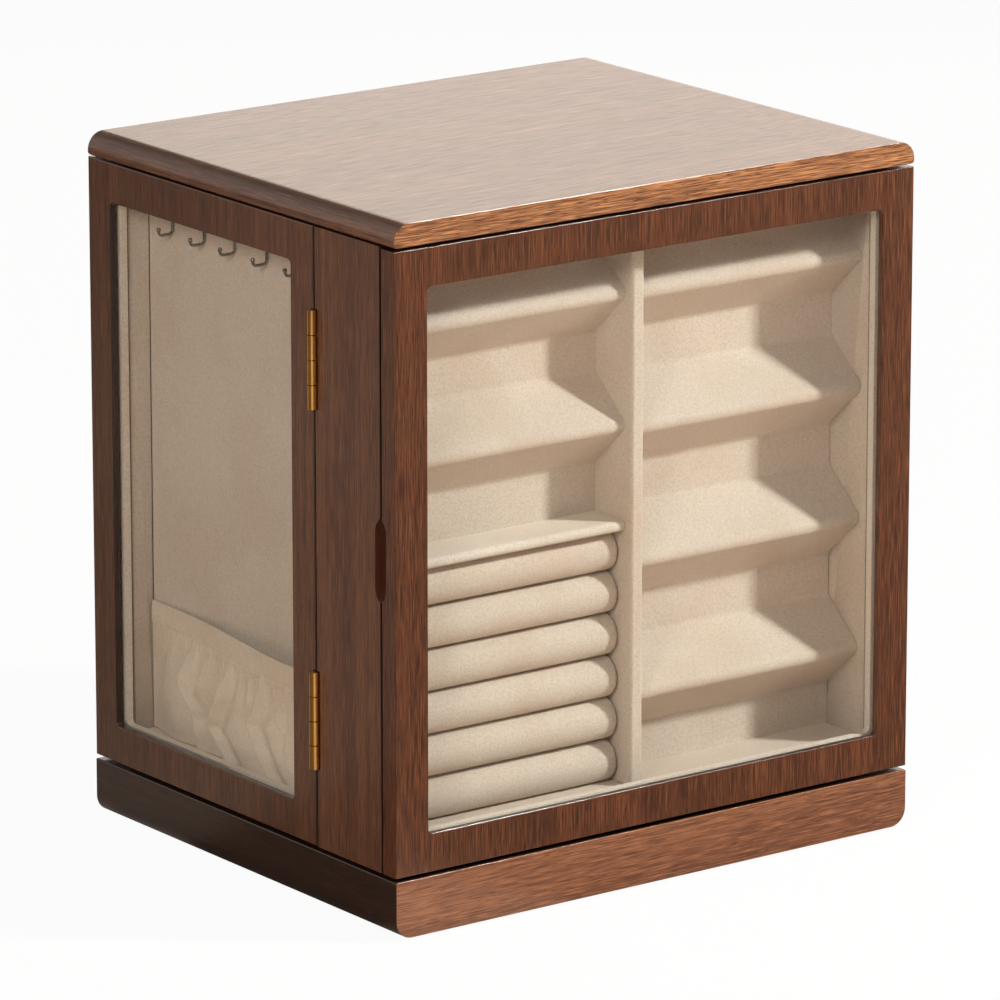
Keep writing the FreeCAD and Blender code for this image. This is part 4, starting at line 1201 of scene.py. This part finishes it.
def pale_floor(look):
    """A white floor that shows the box's soft shadow. A shiny face sees it dimmer, with two bright
    cards that lie on it, one towards the camera and one at the left."""
    material, tree = new_material("pale_studio_floor")
    path = add(tree, "ShaderNodeLightPath").outputs
    way = vector_maths(tree, "NORMALIZE", object_place(tree))
    cards = 0.0
    for card in ((-math.sin(look.azimuth), -math.cos(look.azimuth), 0), LEFT_CARD):
        share = vector_maths(tree, "DOT_PRODUCT", way, card)
        cards = maths(tree, "MAXIMUM", cards, mapped(tree, share, *CARD_FADE, smooth=True))
    shiny = mixed(tree, cards, linear("#77706A"), linear("#D6CEC4"))
    matt = mixed(tree, path["Is Diffuse Ray"], linear("#F6F3F0"), linear("#DCC6B6"))
    colour = mixed(tree, path["Is Glossy Ray"], matt, shiny)
    paper = add(tree, "ShaderNodeBsdfDiffuse", {"Color": colour}).outputs[0]
    warm = light(tree, "Emission", "#FFD8B8", maths(tree, "MULTIPLY", path["Is Diffuse Ray"], look.bounce))
    lit = add(tree, "ShaderNodeAddShader", {0: paper, 1: warm}).outputs[0]
    white = light(tree, "Emission", "#FFFFFF", 1.0)
    seen = maths(tree, "MULTIPLY", path["Is Camera Ray"], FLOOR_WHITE)
    finish_material(tree, either(tree, seen, lit, white))
    corners = [(x * FLOOR_REACH, y * FLOOR_REACH, 0) for x, y in ((-1, -1), (1, -1), (1, 1), (-1, 1))]
    mesh = new_mesh("studio_floor", corners, faces=[(0, 1, 2, 3)])
    mesh.materials.append(material)
    floor = placed("studio_floor", mesh)
    floor.location.z = -FLOOR_DROP


def photo_camera(look):
    camera = bpy.data.cameras.new("camera")
    holder = placed("camera", camera)
    camera.sensor_width = 36.0
    camera.lens = look.lens
    camera.clip_end = 50
    level = math.cos(look.pitch)
    towards = (math.sin(look.azimuth) * level, math.cos(look.azimuth) * level, -math.sin(look.pitch))
    towards = Vector(towards)
    right = level_ways(look)[1]
    up = right.cross(towards)
    holder.rotation_euler = Matrix((right, up, -towards)).transposed().to_euler()
    holder.location = Vector((0, 0, look.height)) + up * look.rise - towards * look.distance
    bpy.context.scene.camera = holder


class BOX_OT_stage(bpy.types.Operator):
    """Set up the floor, the lamps and the camera"""

    bl_idname = "jewelbox.stage"
    bl_label = "Stage"

    def execute(self, context):
        look = context.scene.jewelbox.stage
        pale_floor(look)
        white_room(look)
        lamps = {}
        for name, place, size, power, colour in LAMPS:
            lamps[name] = soft_lamp(name, place, MIDDLE, (size, size), getattr(look, power), colour)
        # The key lamp lights only matt faces, or the top would glare when it is seen from behind. A
        # lamp higher up gives the shiny edges their thin bright lines.
        lamps["key_lamp"].visible_glossy = False
        lamps["edge_shine"].visible_diffuse = False
        back, right = level_ways(look)
        wall = back * WALL_BACK + right * WALL_RIGHT + Vector((0, 0, WALL_HEIGHT))
        soft_lamp("white_wall", wall, wall - back, WALL_SIZE, look.window, "#FFF3E6")
        photo_camera(look)
        context.scene.view_settings.view_transform = "Standard"
        return {"FINISHED"}


class BOX_PT_panel(bpy.types.Panel):
    """Sizes and colours of the jewelry box"""

    bl_idname = "BOX_PT_panel"
    bl_label = "Jewelry box"
    bl_space_type = "VIEW_3D"
    bl_region_type = "UI"
    bl_category = "Jewelry box"

    def draw(self, context):
        settings = context.scene.jewelbox
        for operator, group in STEPS:
            box = self.layout.box()
            box.operator(operator.bl_idname)
            look = getattr(settings, group)
            for name in look.__annotations__:
                box.prop(look, name)


STEPS = (
    (BOX_OT_veneer, "walnut"),
    (BOX_OT_velvet_boards, "velvet"),
    (BOX_OT_glazing, "glass"),
    (BOX_OT_metalwork, "metal"),
    (BOX_OT_hooks, "hook"),
    (BOX_OT_ring_rolls, "roll"),
    (BOX_OT_pockets, "pocket"),
    (BOX_OT_stage, "stage"),
)
LOOKS = (
    WalnutLook,
    VelvetLook,
    MetalLook,
    GlassLook,
    PocketSizes,
    RollSizes,
    HookSizes,
    StageLook,
    BoxSettings,
)


def register():
    for look in LOOKS:
        bpy.utils.register_class(look)
    for operator, _ in STEPS:
        bpy.utils.register_class(operator)
    bpy.utils.register_class(BOX_PT_panel)
    bpy.types.Scene.jewelbox = PointerProperty(type=BoxSettings)


def unregister():
    del bpy.types.Scene.jewelbox
    bpy.utils.unregister_class(BOX_PT_panel)
    for operator, _ in reversed(STEPS):
        bpy.utils.unregister_class(operator)
    for look in reversed(LOOKS):
        bpy.utils.unregister_class(look)


def main():
    register()
    for operator, _ in STEPS:
        group, name = operator.bl_idname.split(".")
        getattr(getattr(bpy.ops, group), name)()


if __name__ == "__main__":
    main()
